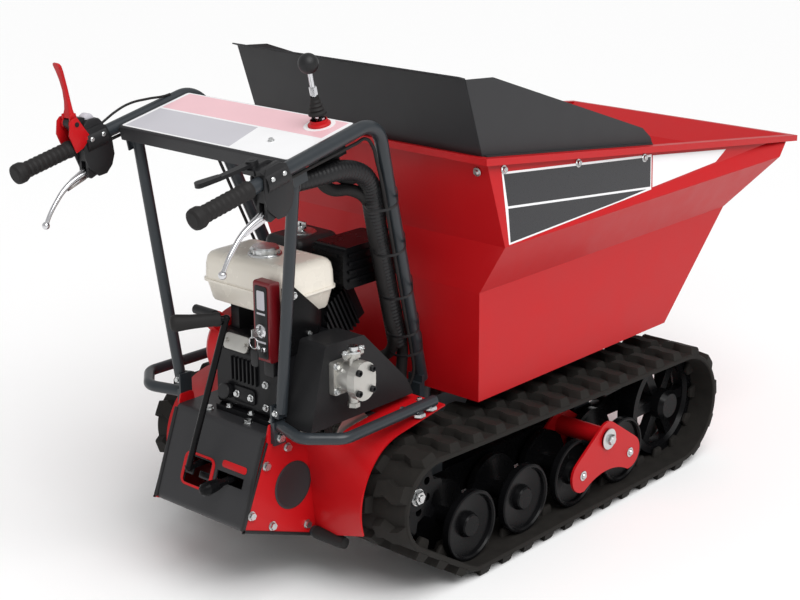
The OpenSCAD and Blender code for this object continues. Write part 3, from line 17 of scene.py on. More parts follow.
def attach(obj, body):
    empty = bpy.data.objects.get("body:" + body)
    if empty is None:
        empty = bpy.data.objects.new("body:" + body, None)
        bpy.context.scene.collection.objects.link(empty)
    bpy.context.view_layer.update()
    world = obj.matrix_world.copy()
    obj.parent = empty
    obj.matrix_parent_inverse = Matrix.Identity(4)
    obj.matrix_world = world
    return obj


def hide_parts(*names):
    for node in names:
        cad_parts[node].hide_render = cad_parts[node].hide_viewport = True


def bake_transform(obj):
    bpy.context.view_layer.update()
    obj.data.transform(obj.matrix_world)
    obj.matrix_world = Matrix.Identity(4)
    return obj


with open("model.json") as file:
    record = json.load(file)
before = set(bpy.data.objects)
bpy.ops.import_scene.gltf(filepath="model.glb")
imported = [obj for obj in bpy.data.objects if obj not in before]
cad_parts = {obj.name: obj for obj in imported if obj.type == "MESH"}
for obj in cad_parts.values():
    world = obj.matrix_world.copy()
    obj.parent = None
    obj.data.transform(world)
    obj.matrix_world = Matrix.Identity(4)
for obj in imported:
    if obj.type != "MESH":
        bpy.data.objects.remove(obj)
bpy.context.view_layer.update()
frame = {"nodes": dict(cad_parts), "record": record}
nodes = frame["nodes"]

# %% [markdown]
# The photograph was taken from behind the machine's right-hand handle, a little above it.
# A camera has a place, a direction and a lens. Here the direction is given as a compass turn, a
# downward pitch and a slight roll, because those are the values that a fit to the picture gives.
# The lens follows from the focal length in pixels and the width of the 800 by 600 image.
# Three directions and a place make the matrix that puts the camera there, and later small pieces.

# %% Camera
image_width = 800
focal_pixels = 1696.47
camera_place = Vector((-2.899, -2.4739, 1.6891))
camera_turn = math.radians(42.022)
camera_pitch = math.radians(17.697)
camera_roll = math.radians(-0.29)


def axes(x, y, z, place):
    return Matrix.Translation(place) @ Matrix((x, y, z)).transposed().to_4x4()


forward = Vector((
    math.cos(camera_turn) * math.cos(camera_pitch),
    math.sin(camera_turn) * math.cos(camera_pitch),
    -math.sin(camera_pitch),
))
level_right = Vector((math.sin(camera_turn), -math.cos(camera_turn), 0))
level_up = level_right.cross(forward)
right = level_right * math.cos(camera_roll) + level_up * math.sin(camera_roll)
up = right.cross(forward)

camera_data = bpy.data.cameras.new("camera")
camera_data.sensor_width = 36
camera_data.lens = camera_data.sensor_width * focal_pixels / image_width
camera = bpy.data.objects.new("camera", camera_data)
camera.matrix_world = axes(right, up, -forward, camera_place)
scene = bpy.context.scene
scene.collection.objects.link(camera)
scene.camera = camera
scene.view_settings.view_transform = "Standard"
print("lens:", round(camera_data.lens, 2), "mm")

# %% [markdown]
# A product picture has a white floor and soft light. A sun with a very wide disc lights the floor
# evenly all the way back and leaves only a soft shadow. The world fills in the shaded sides. Rays
# straight from the camera see a whiter world, so the backdrop is white, and rays off shiny metal
# see one a little brighter than the fill, so chrome has something to mirror.

# %% World, sun and floor
fill_light = 0.46
extra_for_camera = 0.54
extra_for_gloss = 0.12
world = bpy.data.worlds.new("studio")
scene.world = world
world.use_nodes = True
links = world.node_tree.links
shade = world.node_tree.nodes
shade.clear()
path = shade.new("ShaderNodeLightPath")
for_camera = shade.new("ShaderNodeMath")
for_camera.operation = "MULTIPLY_ADD"
for_camera.inputs[1].default_value = extra_for_camera
for_camera.inputs[2].default_value = fill_light
links.new(path.outputs["Is Camera Ray"], for_camera.inputs[0])
for_gloss = shade.new("ShaderNodeMath")
for_gloss.operation = "MULTIPLY_ADD"
for_gloss.inputs[1].default_value = extra_for_gloss
links.new(path.outputs["Is Glossy Ray"], for_gloss.inputs[0])
links.new(for_camera.outputs[0], for_gloss.inputs[2])
background = shade.new("ShaderNodeBackground")
background.inputs["Color"].default_value = (1, 1, 1, 1)
links.new(for_gloss.outputs[0], background.inputs["Strength"])
world_out = shade.new("ShaderNodeOutputWorld")
links.new(background.outputs[0], world_out.inputs["Surface"])


def lamp(name, kind, energy, aim):
    made = bpy.data.objects.new(name, bpy.data.lights.new(name, kind))
    made.data.energy = energy
    made.rotation_mode = "QUATERNION"
    made.rotation_quaternion = Vector(aim).to_track_quat("-Z", "Y")
    scene.collection.objects.link(made)
    return made


sun = lamp("sun", "SUN", 2.1, (0.16, 0.52, -0.84))
sun.data.angle = math.radians(50)
strip_lamp = lamp("strip", "AREA", 30, (1.6, 2.6, -2.4))
strip_lamp.location = (-1.6, -2.6, 3.0)
strip_lamp.data.shape = "RECTANGLE"
strip_lamp.data.size = 3.0
strip_lamp.data.size_y = 0.7

floor_mesh = bpy.data.meshes.new("floor")
floor_shape = bmesh.new()
bmesh.ops.create_grid(floor_shape, x_segments=1, y_segments=1, size=40)
floor_shape.to_mesh(floor_mesh)
floor_shape.free()
floor = bpy.data.objects.new("floor", floor_mesh)
floor.location.z = -0.001
scene.collection.objects.link(floor)
floor_finish = bpy.data.materials.new("floor_white")
floor_finish.use_nodes = True
floor_shader = floor_finish.node_tree.nodes["Principled BSDF"]
floor_shader.inputs["Base Color"].default_value = (0.96, 0.96, 0.96, 1)
floor_shader.inputs["Roughness"].default_value = 0.9
floor_shader.inputs["Specular IOR Level"].default_value = 0.1
floor_mesh.materials.append(floor_finish)
print("sun, strip light and floor are set")

# %% [markdown]
# Every finish is one shader with a fine texture: paint has a faint orange peel, cast metal is
# pebbled and rubber is dusty. The same noise on object coordinates can vary the colour, the
# roughness and the bump, so one helper makes them all and the numbers say how they differ.
# Values that hold all over the surface are set on the shader's own sockets.

# %% Finishes
finishes = {}
sheen_spread = 0.1


def finish(
    name, colour, rough, metal=0.0, coat=0.0, grain=400, bump=0.1, mottle=0.15, patch=18, specular=0.5
):
    made = bpy.data.materials.new(name)
    made.use_nodes = True
    tree = made.node_tree
    shader = tree.nodes["Principled BSDF"]
    shader.inputs["Metallic"].default_value = metal
    shader.inputs["Coat Weight"].default_value = coat
    shader.inputs["Coat Roughness"].default_value = 0.08
    shader.inputs["Specular IOR Level"].default_value = specular
    place = tree.nodes.new("ShaderNodeTexCoord")
    wide = tree.nodes.new("ShaderNodeTexNoise")
    wide.inputs["Scale"].default_value = patch
    wide.inputs["Detail"].default_value = 6
    tree.links.new(place.outputs["Object"], wide.inputs["Vector"])
    tint = tree.nodes.new("ShaderNodeMix")
    tint.data_type = "RGBA"
    tint.inputs["A"].default_value = (*[c * (1 - mottle) for c in colour], 1)
    tint.inputs["B"].default_value = (*[min(1, c * (1 + mottle)) for c in colour], 1)
    tree.links.new(wide.outputs["Fac"], tint.inputs["Factor"])
    tree.links.new(tint.outputs["Result"], shader.inputs["Base Color"])
    sheen = tree.nodes.new("ShaderNodeMapRange")
    sheen.inputs["To Min"].default_value = max(0.02, rough - sheen_spread)
    sheen.inputs["To Max"].default_value = min(1.0, rough + sheen_spread)
    tree.links.new(wide.outputs["Fac"], sheen.inputs["Value"])
    tree.links.new(sheen.outputs["Result"], shader.inputs["Roughness"])
    fine = tree.nodes.new("ShaderNodeTexNoise")
    fine.inputs["Scale"].default_value = grain
    fine.inputs["Detail"].default_value = 3
    tree.links.new(place.outputs["Object"], fine.inputs["Vector"])
    relief = tree.nodes.new("ShaderNodeBump")
    relief.inputs["Strength"].default_value = bump
    relief.inputs["Distance"].default_value = 0.001
    tree.links.new(fine.outputs["Fac"], relief.inputs["Height"])
    tree.links.new(relief.outputs["Normal"], shader.inputs["Normal"])
    finishes[name] = made


finish("red_paint", (0.47, 0.004, 0.007), 0.42, coat=0.06, grain=260, bump=0.05, mottle=0.05, specular=0.25)
finish("frame_paint", (0.022, 0.027, 0.032), 0.36, coat=0.12, grain=700, bump=0.1, mottle=0.12, specular=0.35)
finish("dark_paint", (0.026, 0.026, 0.028), 0.46, grain=900, bump=0.18, mottle=0.10, specular=0.3)
finish("black_paint", (0.004, 0.004, 0.0045), 0.26, grain=600, bump=0.05, mottle=0.2, specular=0.1)
finish("track_rubber", (0.0135, 0.012, 0.0105), 0.78, grain=220, bump=0.4, mottle=0.5, patch=34, specular=0.2)
finish("grip_rubber", (0.011, 0.010, 0.010), 0.66, grain=900, bump=0.25, mottle=0.25, specular=0.3)
finish("bright_steel", (0.66, 0.66, 0.68), 0.18, metal=1.0, grain=500, bump=0.03, mottle=0.12)
finish("zinc_steel", (0.60, 0.61, 0.61), 0.28, metal=1.0, grain=900, bump=0.08, mottle=0.15)
finish("cast_alloy", (0.52, 0.51, 0.48), 0.40, metal=0.85, grain=650, bump=0.35, mottle=0.22)
finish("tank_white", (0.80, 0.75, 0.66), 0.26, coat=0.25, grain=200, bump=0.04, mottle=0.04)
finish("black_plastic", (0.009, 0.009, 0.010), 0.44, grain=1100, bump=0.22, mottle=0.15, specular=0.35)
finish("black_iron", (0.007, 0.007, 0.008), 0.34, coat=0.04, grain=350, bump=0.14, mottle=0.25, specular=0.18)
finish("printed_white", (0.84, 0.84, 0.85), 0.34, grain=300, bump=0.02, mottle=0.03)
finish("printed_grey", (0.52, 0.51, 0.55), 0.34, grain=300, bump=0.02, mottle=0.04)
finish("printed_pink", (0.80, 0.50, 0.54), 0.34, grain=300, bump=0.02, mottle=0.05)
finish("printed_carbon", (0.022, 0.022, 0.025), 0.30, grain=1500, bump=0.05, mottle=0.3, patch=300)
print("finishes:", ", ".join(finishes))

# %% [markdown]
# The record says which finish each node has, so dressing the solids is one loop. A few nodes get a
# closer match to the picture: the crankcase and the valve are black, the belt cover nearly so, the
# wheels are painted black, and the start box is a darker red.

# %% Dress the CAD nodes
finish("cover_paint", (0.014, 0.014, 0.015), 0.46, grain=900, bump=0.18, mottle=0.1, specular=0.2)
finish("box_red", (0.17, 0.004, 0.008), 0.34, coat=0.2, grain=300, bump=0.05, mottle=0.08)
closer = {
    "engine_block": "black_iron",
    "control_valve": "black_iron",
    "belt_cover": "cover_paint",
    "start_box": "box_red",
}
for name in nodes:
    if name.startswith(("road_wheel", "idler", "sprocket")):
        closer[name] = "black_paint"
for part in frame["record"]["subparts"]:
    mesh = nodes[part["node"]].data
    mesh.materials.clear()
    mesh.materials.append(finishes[closer.get(part["node"], part["material_slot"])])

# %% [markdown]
# The small pieces are drawn in millimetres, as on a workshop drawing, and turned into metres on
# the way in. Four helpers cover most of them: a lathe that spins a profile, a slab that gives a
# flat outline its thickness, a tube that runs a round section along a smooth path, and a loft that
# joins outlines at different heights. Each of them adds to an open bmesh, so that a set of like
# pieces can become one object. A seat is the matrix that says where a shape stands and which way
# it faces. Where one shape is the whole piece, turned, plate and sweep make it in one call.

# %% Helpers for small pieces
mm = 0.001
merge_gap = 1e-6


def at(x, y, z):
    return Vector((x, y, z)) * mm


def stand(place, along):
    turn = Vector((0, 0, 1)).rotation_difference(Vector(along)).to_matrix().to_4x4()
    return Matrix.Translation(place) @ turn


def on_circle(x, y, radius, degrees):
    turn = math.radians(degrees)
    return x + radius * math.cos(turn), y + radius * math.sin(turn)


def rounded_outline(width, height, radius, steps=5):
    x, y = width / 2 - radius, height / 2 - radius
    turns = ((x, y, 0), (-x, y, 90), (-x, -y, 180), (x, -y, 270))
    return [on_circle(a, b, radius, c + 90 * k / steps) for a, b, c in turns for k in range(steps + 1)]


def settle(shape, seat, made):
    bmesh.ops.recalc_face_normals(shape, faces=list({f for v in made for f in v.link_faces}))
    bmesh.ops.transform(shape, matrix=seat, verts=list(made))


def lathe(shape, seat, profile, steps):
    before = set(shape.verts)
    ring = [shape.verts.new((radius * mm, 0, height * mm)) for radius, height in profile]
    edges = [shape.edges.new(pair) for pair in zip(ring, ring[1:])]
    bmesh.ops.spin(
        shape, geom=ring + edges, axis=(0, 0, 1), cent=(0, 0, 0), angle=math.tau, steps=steps, use_merge=True
    )
    made = [v for v in shape.verts if v not in before]
    bmesh.ops.remove_doubles(shape, verts=made, dist=merge_gap)
    settle(shape, seat, [v for v in shape.verts if v not in before])


def thicken(shape, flat, thick):
    raised = bmesh.ops.extrude_face_region(shape, geom=flat)["geom"]
    top = [v for v in raised if isinstance(v, bmesh.types.BMVert)]
    bmesh.ops.translate(shape, verts=top, vec=(0, 0, thick * mm))
    return top


def slab(shape, seat, outline, thick, soften=0.0):
    base = [shape.verts.new((x * mm, y * mm, 0)) for x, y in outline]
    both = base + thicken(shape, [shape.faces.new(base)], thick)
    settle(shape, seat, both)
    if soften:
        edges = list({e for v in both for e in v.link_edges})
        bmesh.ops.bevel(
            shape, geom=edges, offset=soften * mm, offset_type="OFFSET", segments=2, profile=0.5,
            affect="EDGES", material=-1, clamp_overlap=True,
        )


def closed_loop(shape, corners):
    return [shape.edges.new(pair) for pair in zip(corners, corners[1:] + corners[:1])]


def stack(shape, rings):
    made, last = [], None
    for places in rings:
        corners = [shape.verts.new(place) for place in places]
        loop = closed_loop(shape, corners)
        if last:
            bmesh.ops.bridge_loops(shape, edges=last + loop)
        else:
            shape.faces.new(corners)
        made, last = made + corners, loop
    shape.faces.new(corners)
    return made


def loft(shape, seat, rings):
    places = [[at(x, y, height) for x, y in outline] for outline, height in rings]
    settle(shape, seat, stack(shape, places))


def tube(shape, points, radius, swell=None):
    curve = bpy.data.curves.new("path", "CURVE")
    curve.dimensions = "3D"
    curve.bevel_depth = radius * mm
    curve.bevel_resolution = 5
    curve.resolution_u = 8
    curve.use_fill_caps = True
    spline = curve.splines.new("BEZIER")
    spline.bezier_points.add(len(points) - 1)
    for i, (knot, place) in enumerate(zip(spline.bezier_points, points)):
        knot.co = place
        knot.handle_left_type = "AUTO"
        knot.handle_right_type = "AUTO"
        knot.radius = swell[i] if swell else 1.0
    drawn = bpy.data.objects.new("path", curve)
    scene.collection.objects.link(drawn)
    bpy.context.view_layer.update()
    mesh = bpy.data.meshes.new_from_object(drawn.evaluated_get(bpy.context.evaluated_depsgraph_get()))
    bpy.data.objects.remove(drawn)
    before = set(shape.verts)
    shape.from_mesh(mesh)
    bpy.data.meshes.remove(mesh)
    bmesh.ops.remove_doubles(shape, verts=[v for v in shape.verts if v not in before], dist=merge_gap)
    bmesh.ops.recalc_face_normals(shape, faces=shape.faces)


def piece(name, shape, slot, body, crease=38, look=None):
    mesh = bpy.data.meshes.new(name)
    for face in shape.faces:
        face.smooth = True
    shape.to_mesh(mesh)
    shape.free()
    mesh.set_sharp_from_angle(angle=math.radians(crease))
    mesh.materials.append(finishes[look or slot])
    made = bpy.data.objects.new(name, mesh)
    scene.collection.objects.link(made)
    if body:
        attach(made, body)
    print(name, "faces:", len(mesh.polygons))
    return made


def turned(name, seat, profile, steps, slot, body, look=None):
    shape = bmesh.new()
    lathe(shape, seat, profile, steps)
    return piece(name, shape, slot, body, look=look)


def plate(name, seat, outline, thick, soften, slot, body, look=None):
    shape = bmesh.new()
    slab(shape, seat, outline, thick, soften)
    return piece(name, shape, slot, body, look=look)


def sweep(name, points, radius, slot, body, swell=None):
    shape = bmesh.new()
    tube(shape, points, radius, swell)
    return piece(name, shape, slot, body)


print("helpers ready")

# %% [markdown]
# A plated hexagon bolt is a washer, a six-sided head with its corners turned off, and the slightly
# raised round top of that head. Spinning the head's profile in six steps gives the hexagon and its
# chamfer at once. Socket screws are the same with a round head and a hollow middle.

# %% Fasteners
washer_thick = 2


def hex_bolt(shape, place, along, size, washer):
    seat = stand(place, along)
    rim = washer * size
    lathe(shape, seat, [(0, 0), (rim, 0), (rim, 1.4), (0.95 * rim, washer_thick), (0, washer_thick)], 28)
    head = seat @ Matrix.Translation(at(0, 0, washer_thick))
    top, crown = 0.8 * size, 0.86 * size
    lathe(shape, head, [(0, 0), (size, 0), (size, 0.62 * size), (0.84 * size, top), (0, top)], 6)
    lathe(shape, head, [(0, 0.7 * size), (0.62 * size, 0.7 * size), (0.55 * size, crown), (0, crown)], 16)


def socket_screw(shape, place, along, size):
    hollow = 0.45 * size
    lathe(shape, stand(place, along), [
        (0, 0), (size, 0), (size, size - 0.8), (size - 0.8, size), (0.56 * size, size), (0.5 * size, hollow),
        (0, hollow)], 20)


print("fasteners ready")

# %% [markdown]
# Two hydraulic hoses run from the valve under the dash down the right-hand leg, and a thin cable
# follows each handle to the gearbox. On the machine they are strapped to the leg all the way, so
# they are fixed pieces with a known route: the same listed points that the solids use. A
# sweep along a smooth curve gives them a round section.

# %% Hose and cable routes
handle_start = (-986, 914)
handle_slope = math.radians(12.45)
handle_y = 262
lever_s = 412
lever_y = -180
valve_floor = -72


def on_handle(s, y, w):
    x = handle_start[0] + s * math.cos(handle_slope) - w * math.sin(handle_slope)
    z = handle_start[1] + s * math.sin(handle_slope) + w * math.cos(handle_slope)
    return at(x, y, z)


leg_top = on_handle(490, handle_y, 0)
leg_end = at(-274, 171, 396)


def by_leg(z, dx, dy):
    share = (leg_top.z - z * mm) / (leg_top.z - leg_end.z)
    return leg_top.lerp(leg_end, share) + at(dx, dy, 0)


def by_port(u, drop, off=(0, 0, 0)):
    return on_handle(lever_s + u, -lever_y, valve_floor - drop) + at(*off)


return_hose = [
    by_port(-26, 0.7), by_port(-26, 13), by_port(-26, 26), by_port(-26, 0.7, (33, 6, -50)),
    by_port(-26, 0.7, (73, 20, -56)), by_leg(845, -42, -28), by_leg(785, -42, -24), by_leg(680, -44, -22),
    by_leg(570, -44, -22), by_leg(500, -44, -22), at(-344, 125, 456), at(-342, 60, 441), at(-342, -19, 440),
]
lift_hose = [
    by_port(20, 0.7), by_port(20, 13), by_port(20, 26), by_port(20, 0.7, (22, 10, -43)),
    by_port(20, 0.7, (52, 30, -39)), by_leg(880, -16, -26), by_leg(780, -16, -26), by_leg(680, -16, -26),
    by_leg(570, -16, -26), by_leg(480, -16, -26), at(-321, 152, 400), at(-322, 154, 330), at(-322, 156, 300),
    at(-322, 147, 283), at(-322, 134, 280), at(-322, 121, 280),
]
cable = [
    on_handle(218.6, handle_y, -20), on_handle(247, handle_y, -20), on_handle(329, handle_y, -22),
    on_handle(420, handle_y, -24), leg_top + at(-28, -5, -35), leg_top + at(-5, -8, -55),
    by_leg(935, -25, 3), by_leg(880, -24, 6), by_leg(780, -24, 6), by_leg(680, -24, 6), by_leg(570, -24, 6),
    by_leg(480, -24, 6), at(-318, 185, 420), at(-345, 165, 350), at(-348, 150, 310), at(-348, 136, 300),
    at(-348, 121, 300),
]


def to_right(points):
    return [Vector((p.x, -p.y, p.z)) for p in points]


hose_radius, cable_radius = 12.5, 3.5
made = sweep("return_hose", to_right(return_hose), hose_radius, "grip_rubber", "chassis")
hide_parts("hoses_and_cables")
sweep("lift_hose", to_right(lift_hose), hose_radius, "grip_rubber", "chassis")
sweep("cable_right", to_right(cable), cable_radius, "grip_rubber", "chassis")
sweep("cable_left", cable, cable_radius, "grip_rubber", "chassis")

# %% [markdown]
# Both hoses share one thick sleeve that starts under the handle, arches over and runs down the leg.
# Flat straps hold it there. A swell that grows and shrinks a little along the path gives the sleeve
# fine ribs.

# %% Hose sleeve and straps
sleeve_radius = 21
rib_pitch = 4.5
rib_dip = 0.965
easing_rounds = 30
sleeve_bends = [
    on_handle(300, 207, -62), on_handle(340, 219, -67), on_handle(384, 228, -71), on_handle(431, 229, -88),
    on_handle(470, 226, -118), by_leg(868, -31, -22), by_leg(835, -31, -25), by_leg(760, -31, -26),
    by_leg(620, -31, -26), by_leg(492, -31, -25),
]


def ribbed(bends):
    line, swell = [], []
    for a, b in zip(bends, bends[1:]):
        steps = max(2, 2 * round((b - a).length / mm / rib_pitch / 2))
        line += [a.lerp(b, k / steps) for k in range(steps)]
        swell += [1.0 if k % 2 else rib_dip for k in range(steps)]
    return line + [bends[-1]], swell + [rib_dip]


def eased(points):
    for _ in range(easing_rounds):
        middle = [(a + 2 * b + c) / 4 for a, b, c in zip(points, points[1:], points[2:])]
        points = [points[0]] + middle + [points[-1]]
    return points


sleeve_line, sleeve_swell = ribbed(sleeve_bends)
sweep("hose_sleeve", to_right(eased(sleeve_line)), sleeve_radius, "black_plastic", "chassis", sleeve_swell)


def hoop(shape, seat, outer, inner, thick):
    loops = []
    for outline in (outer, inner):
        loops += closed_loop(shape, [shape.verts.new((x * mm, y * mm, 0)) for x, y in outline])
    top = thicken(shape, bmesh.ops.bridge_loops(shape, edges=loops)["faces"], thick)
    settle(shape, seat, {v for e in loops for v in e.verts} | set(top))


straps = bmesh.new()
strap_width = 6
strap_outer, strap_inner = rounded_outline(94, 70, 30, 6), rounded_outline(91, 67, 28.5, 6)
lean = to_right([leg_end - leg_top])[0]
for middle in to_right([by_leg(z, -16, -12) for z in (850, 745, 640, 545, 495)]):
    hoop(straps, stand(middle, lean), strap_outer, strap_inner, strap_width)
piece("hose_straps", straps, "black_plastic", "chassis")

# %% [markdown]
# The load guard is bolted through the tub's wall just under the rim, and the maker's panel on the
# side of the tub is a printed sheet. Here the sheet is left plain: two dark fields with a pale
# edge and a pale field beside them. The upper wall leans, and its two sides are folded along
# different diagonals, so each side has its own formula, of a plane, for how far in the wall lies.

# %% Tub trim
fold_y, fold_z = 372, 722
glue = 0.05


def on_wall(side, x, z, proud=0.0):
    if side < 0:
        inward = (4620 * (x + 240) + 37200 * (z - fold_z)) / 233460
    else:
        inward = 30 * (z - fold_z) / 192
    return at(x, side * (fold_y - inward + proud), z)


def wall_normal(side):
    spot = on_wall(side, 0, 790)
    normal = (on_wall(side, 200, 790) - spot).cross(on_wall(side, 0, 840) - spot)
    return normal if normal.y * side > 0 else -normal


rim_bolts = bmesh.new()
for side in (-1, 1):
    for x, z in ((-216, 880), (44, 848), (300, 815)):
        hex_bolt(rim_bolts, on_wall(side, x, z), wall_normal(side), 6.5, 1.5)
    hex_bolt(rim_bolts, at(-266.5, side * 317, 880), (-1, 0, -0.15), 6.5, 1.5)
piece("rim_bolts", rim_bolts, "zinc_steel", "tub_body")


def wall_sheet(name, side, fields, proud, slot, look):
    shape = bmesh.new()
    for corners in fields:
        outer = [shape.verts.new(on_wall(side, x, z, proud)) for x, z in corners]
        inner = [shape.verts.new(on_wall(side, x, z, glue)) for x, z in corners]
        shape.faces.new(outer)
        shape.faces.new(inner)
        for i in range(len(corners)):
            j = (i + 1) % len(corners)
            shape.faces.new((outer[i], outer[j], inner[j], inner[i]))
    bmesh.ops.recalc_face_normals(shape, faces=shape.faces)
    return piece(name, shape, slot, "tub_body", look=look)


panels = {
    "right": [
        [[(-224, 876), (331, 818), (316, 740), (184, 736), (-226, 725)]],
        [[(-219, 871), (326, 813), (313, 747), (-216, 804)],
         [(-216, 799), (296, 744), (181, 739), (-221, 729)]],
        [[(336, 815), (656, 775), (604, 753), (322, 744)]],
    ],
    "left": [
        [[(-224, 816), (318, 804), (318, 736), (-222, 730)]],
        [[(-219, 811), (312, 799), (312, 741), (-217, 735)]],
        [[(324, 800), (560, 764), (540, 740), (324, 740)]],
    ],
}
sides = ((-1, "right"), (1, "left"))
for side, word in sides:
    edge, dark, pale = panels[word]
    wall_sheet("panel_edge_" + word, side, edge, 0.5, "tank_white", "printed_white")
    wall_sheet("panel_dark_" + word, side, dark, 0.9, "dark_paint", "printed_carbon")
    wall_sheet("panel_pale_" + word, side, pale, 0.6, "tank_white", "printed_white")

# %% [markdown]
# The rear of the base carries the gear gate, with a red surround pressed round it, and the range
# slot, with a plain red strip above it. They lie on the sloping panel, so a seat that stands on the
# panel, with its Z axis square to it, places them. Seen from behind, a seat's X axis runs to the
# right and its Y axis up. The gear lever has a flared rubber grip, and a bolt holds the foot of each
# support tube.

# %% Base trim
panel_low = at(-786, 0, 193)
panel_high = at(-714, 0, 385)
panel_up = (panel_high - panel_low).normalized()
panel_out = panel_up.cross(Vector((0, 1, 0)))


def rear_seat(place, up=(0, 0, 1), out=(-1, 0, 0)):
    return axes((0, -1, 0), up, out, place)


def on_panel(y, z):
    rise = (z * mm - panel_low.z) / panel_up.z
    return rear_seat(panel_low + panel_up * rise + at(0, y, 0), panel_up, panel_out)


gate = on_panel(28, 274)
opening = rounded_outline(76, 62, 9)
surround = bmesh.new()
hoop(surround, gate, rounded_outline(92, 72, 17), opening, 1.4)
piece("gate_surround", surround, "red_paint", "chassis")
tongues = bmesh.new()
hoop(tongues, gate, opening, rounded_outline(73.4, 59.4, 6), 0.9)
for y, width in ((6.5, 27), (54, 21)):
    slab(tongues, on_panel(y, 271.5), rounded_outline(width, 9.6, 2), 0.9, 0.2)
piece("gate_tongues", tongues, "black_paint", "chassis")
plate("range_strip", on_panel(-73, 307), rounded_outline(72, 15, 6), 1.0, 0.3, "red_paint", "chassis")
panel_edges = bmesh.new()
for side in (-1, 1):
    slab(panel_edges, on_panel(side * 133.6, 288), rounded_outline(9.4, 196, 3), 1.6, 0.5)
piece("panel_edges", panel_edges, "black_plastic", "chassis")
foot_bolts = bmesh.new()
for side in (-1, 1):
    hex_bolt(foot_bolts, at(-696, side * 149, 431), (-1, 0, 0), 5.5, 1.25)
piece("foot_bolts", foot_bolts, "zinc_steel", "chassis")
grip_start, grip_end = at(-750, -72, 630), at(-830, -19, 629)
turned("gear_grip", stand(grip_start, grip_end - grip_start), [
    (0, 13), (14, 13), (14.8, 15), (14.8, 22), (13.7, 25), (13.9, 48), (14.8, 72), (16.6, 90), (17.4, 98),
    (17, 105), (14, 110), (8, 112.4), (0, 112.8)], 32, "grip_rubber", "gear")

# %% [markdown]
# The cover's sheet is folded round the rear and lower edges of each side plate, which shows as a
# dark border. A round dark disc sits in the middle of the plate, with a raised ring round it.

# %% Side plate trim
plate_face = 137
border_paths = [((-788, 196), (-570, 113)), ((-713, 370), (-787, 194))]
discs = bmesh.new()
borders = bmesh.new()
for side in (-1, 1):
    out = Vector((0, side, 0))
    lathe(discs, stand(at(-641, side * plate_face, 253), out), [
        (0, 0), (52, 0), (52, 1.2), (51, 1.8), (46, 1.8), (45, 1.2), (0, 1.2)], 48)
    for ends in border_paths:
        start, stop = (at(x, side * plate_face, z) for x, z in ends)
        run = (stop - start).normalized()
        length = (stop - start).length / mm
        slab(borders, axes(run, run.cross(out) * side, out, start), [
            (-1, -1.5), (length + 1, -1.5), (length + 1, 5.5), (2, 5.5)], 1.8, 0.5)
piece("plate_discs", discs, "dark_paint", "chassis")
piece("plate_borders", borders, "black_plastic", "chassis")

# %% [markdown]
# The running gear is held by plated bolts: a large washer and bolt on each bogie pivot, small ones
# on the wheel pins, and a washer and nut on the end of each drive axle. The pivot's bolt stays with
# the frame, the wheel pins rock with the bogie, and the axle nut turns with its sprocket.

# %% Running gear fasteners
track_y = 296
bogie_face = track_y + 75
wheel_z = 109.4
front_wheels = (63, 251)
pivot = (157, 173.4)
sprocket = (-461, 219)
for side, word in sides:
    out = Vector((0, side, 0))
    pivots = bmesh.new()
    hex_bolt(pivots, at(pivot[0], side * (bogie_face + 5), pivot[1]), out, 13, 1.95)
    piece("pivot_bolt_" + word, pivots, "zinc_steel", "chassis")
    pins = bmesh.new()
    for x in front_wheels:
        lathe(pins, stand(at(x, side * (bogie_face + 0.2), wheel_z), out),
              [(0, 0), (12, 0), (12, 1.6), (11, 2.3), (7.5, 2.3), (7, 5), (5.5, 6.4), (0, 6.4)], 24)
    piece("pin_caps_" + word, pins, "zinc_steel", "rocker_" + word)
    nuts = bmesh.new()
    seat = stand(at(sprocket[0], side * (track_y + 25), sprocket[1]), out)
    lathe(nuts, seat, [(0, -1.2), (19.6, -1.2), (19.6, 3.6), (18.6, 4.6), (0, 4.6)], 32)
    lathe(nuts, seat, [(0, 4), (16.6, 4), (16.6, 10.5), (14, 12.6), (0, 12.6)], 6)
    lathe(nuts, seat, [(0, 12), (8, 12), (8, 14.6), (7, 16), (0, 16)], 24)
    piece("axle_nut_" + word, nuts, "zinc_steel", "drive_" + word)

# %% [markdown]
# The dash is faced with a printed sheet, left plain here: a grey field, a pale red field along the
# front and a white margin. The tip lever comes up through a red collar with a pale ring round it,
# and ends in a black ball. Pieces on the handles are placed with the same measure along the tube
# and above it that the solids use.

# %% Dash face and lever collar
along_handle = (on_handle(1, 0, 0) - on_handle(0, 0, 0)).normalized()
above_handle = (on_handle(0, 0, 1) - on_handle(0, 0, 0)).normalized()
dash_start, dash_length = 252, 199


def handle_seat(s, y, w):
    return axes(along_handle, above_handle.cross(along_handle), above_handle, on_handle(s, y, w))


def ball(radius, step):
    return [on_circle(0, 0, radius, a - 90) for a in range(0, 181, step)]


dash_seat = handle_seat(dash_start + dash_length / 2, 0, 6.1)
plate("dash_face", dash_seat, rounded_outline(188, 484, 6), 0.6, 0, "tank_white", "chassis", "printed_white")
for name, look, corners in (
    ("dash_grey", "printed_grey", [(262, 233), (262, -78), (357, -62), (357, 233)]),
    ("dash_pink", "printed_pink", [(363, 233), (363, -232), (442, -232), (442, 233)]),
):
    plate(name, handle_seat(0, 0, 6.6), corners, 0.3, 0, "tank_white", "chassis", look)
turned("lever_collar", handle_seat(lever_s, lever_y, 6.8), [
    (16.2, 0), (23, 0), (23, 4), (21, 6), (18, 7), (17.5, 12), (16.2, 12.6), (16.2, 0)],
    36, "red_paint", "chassis")
turned("lever_ring", handle_seat(lever_s, lever_y, 6.7), [
    (23.2, 0), (32, 0), (32, 0.8), (23.2, 0.8), (23.2, 0)], 40, "tank_white", "chassis", "printed_white")
turned("lever_ball", handle_seat(lever_s, lever_y, 134), ball(20.5, 10), 36, "black_plastic", "tip_control")
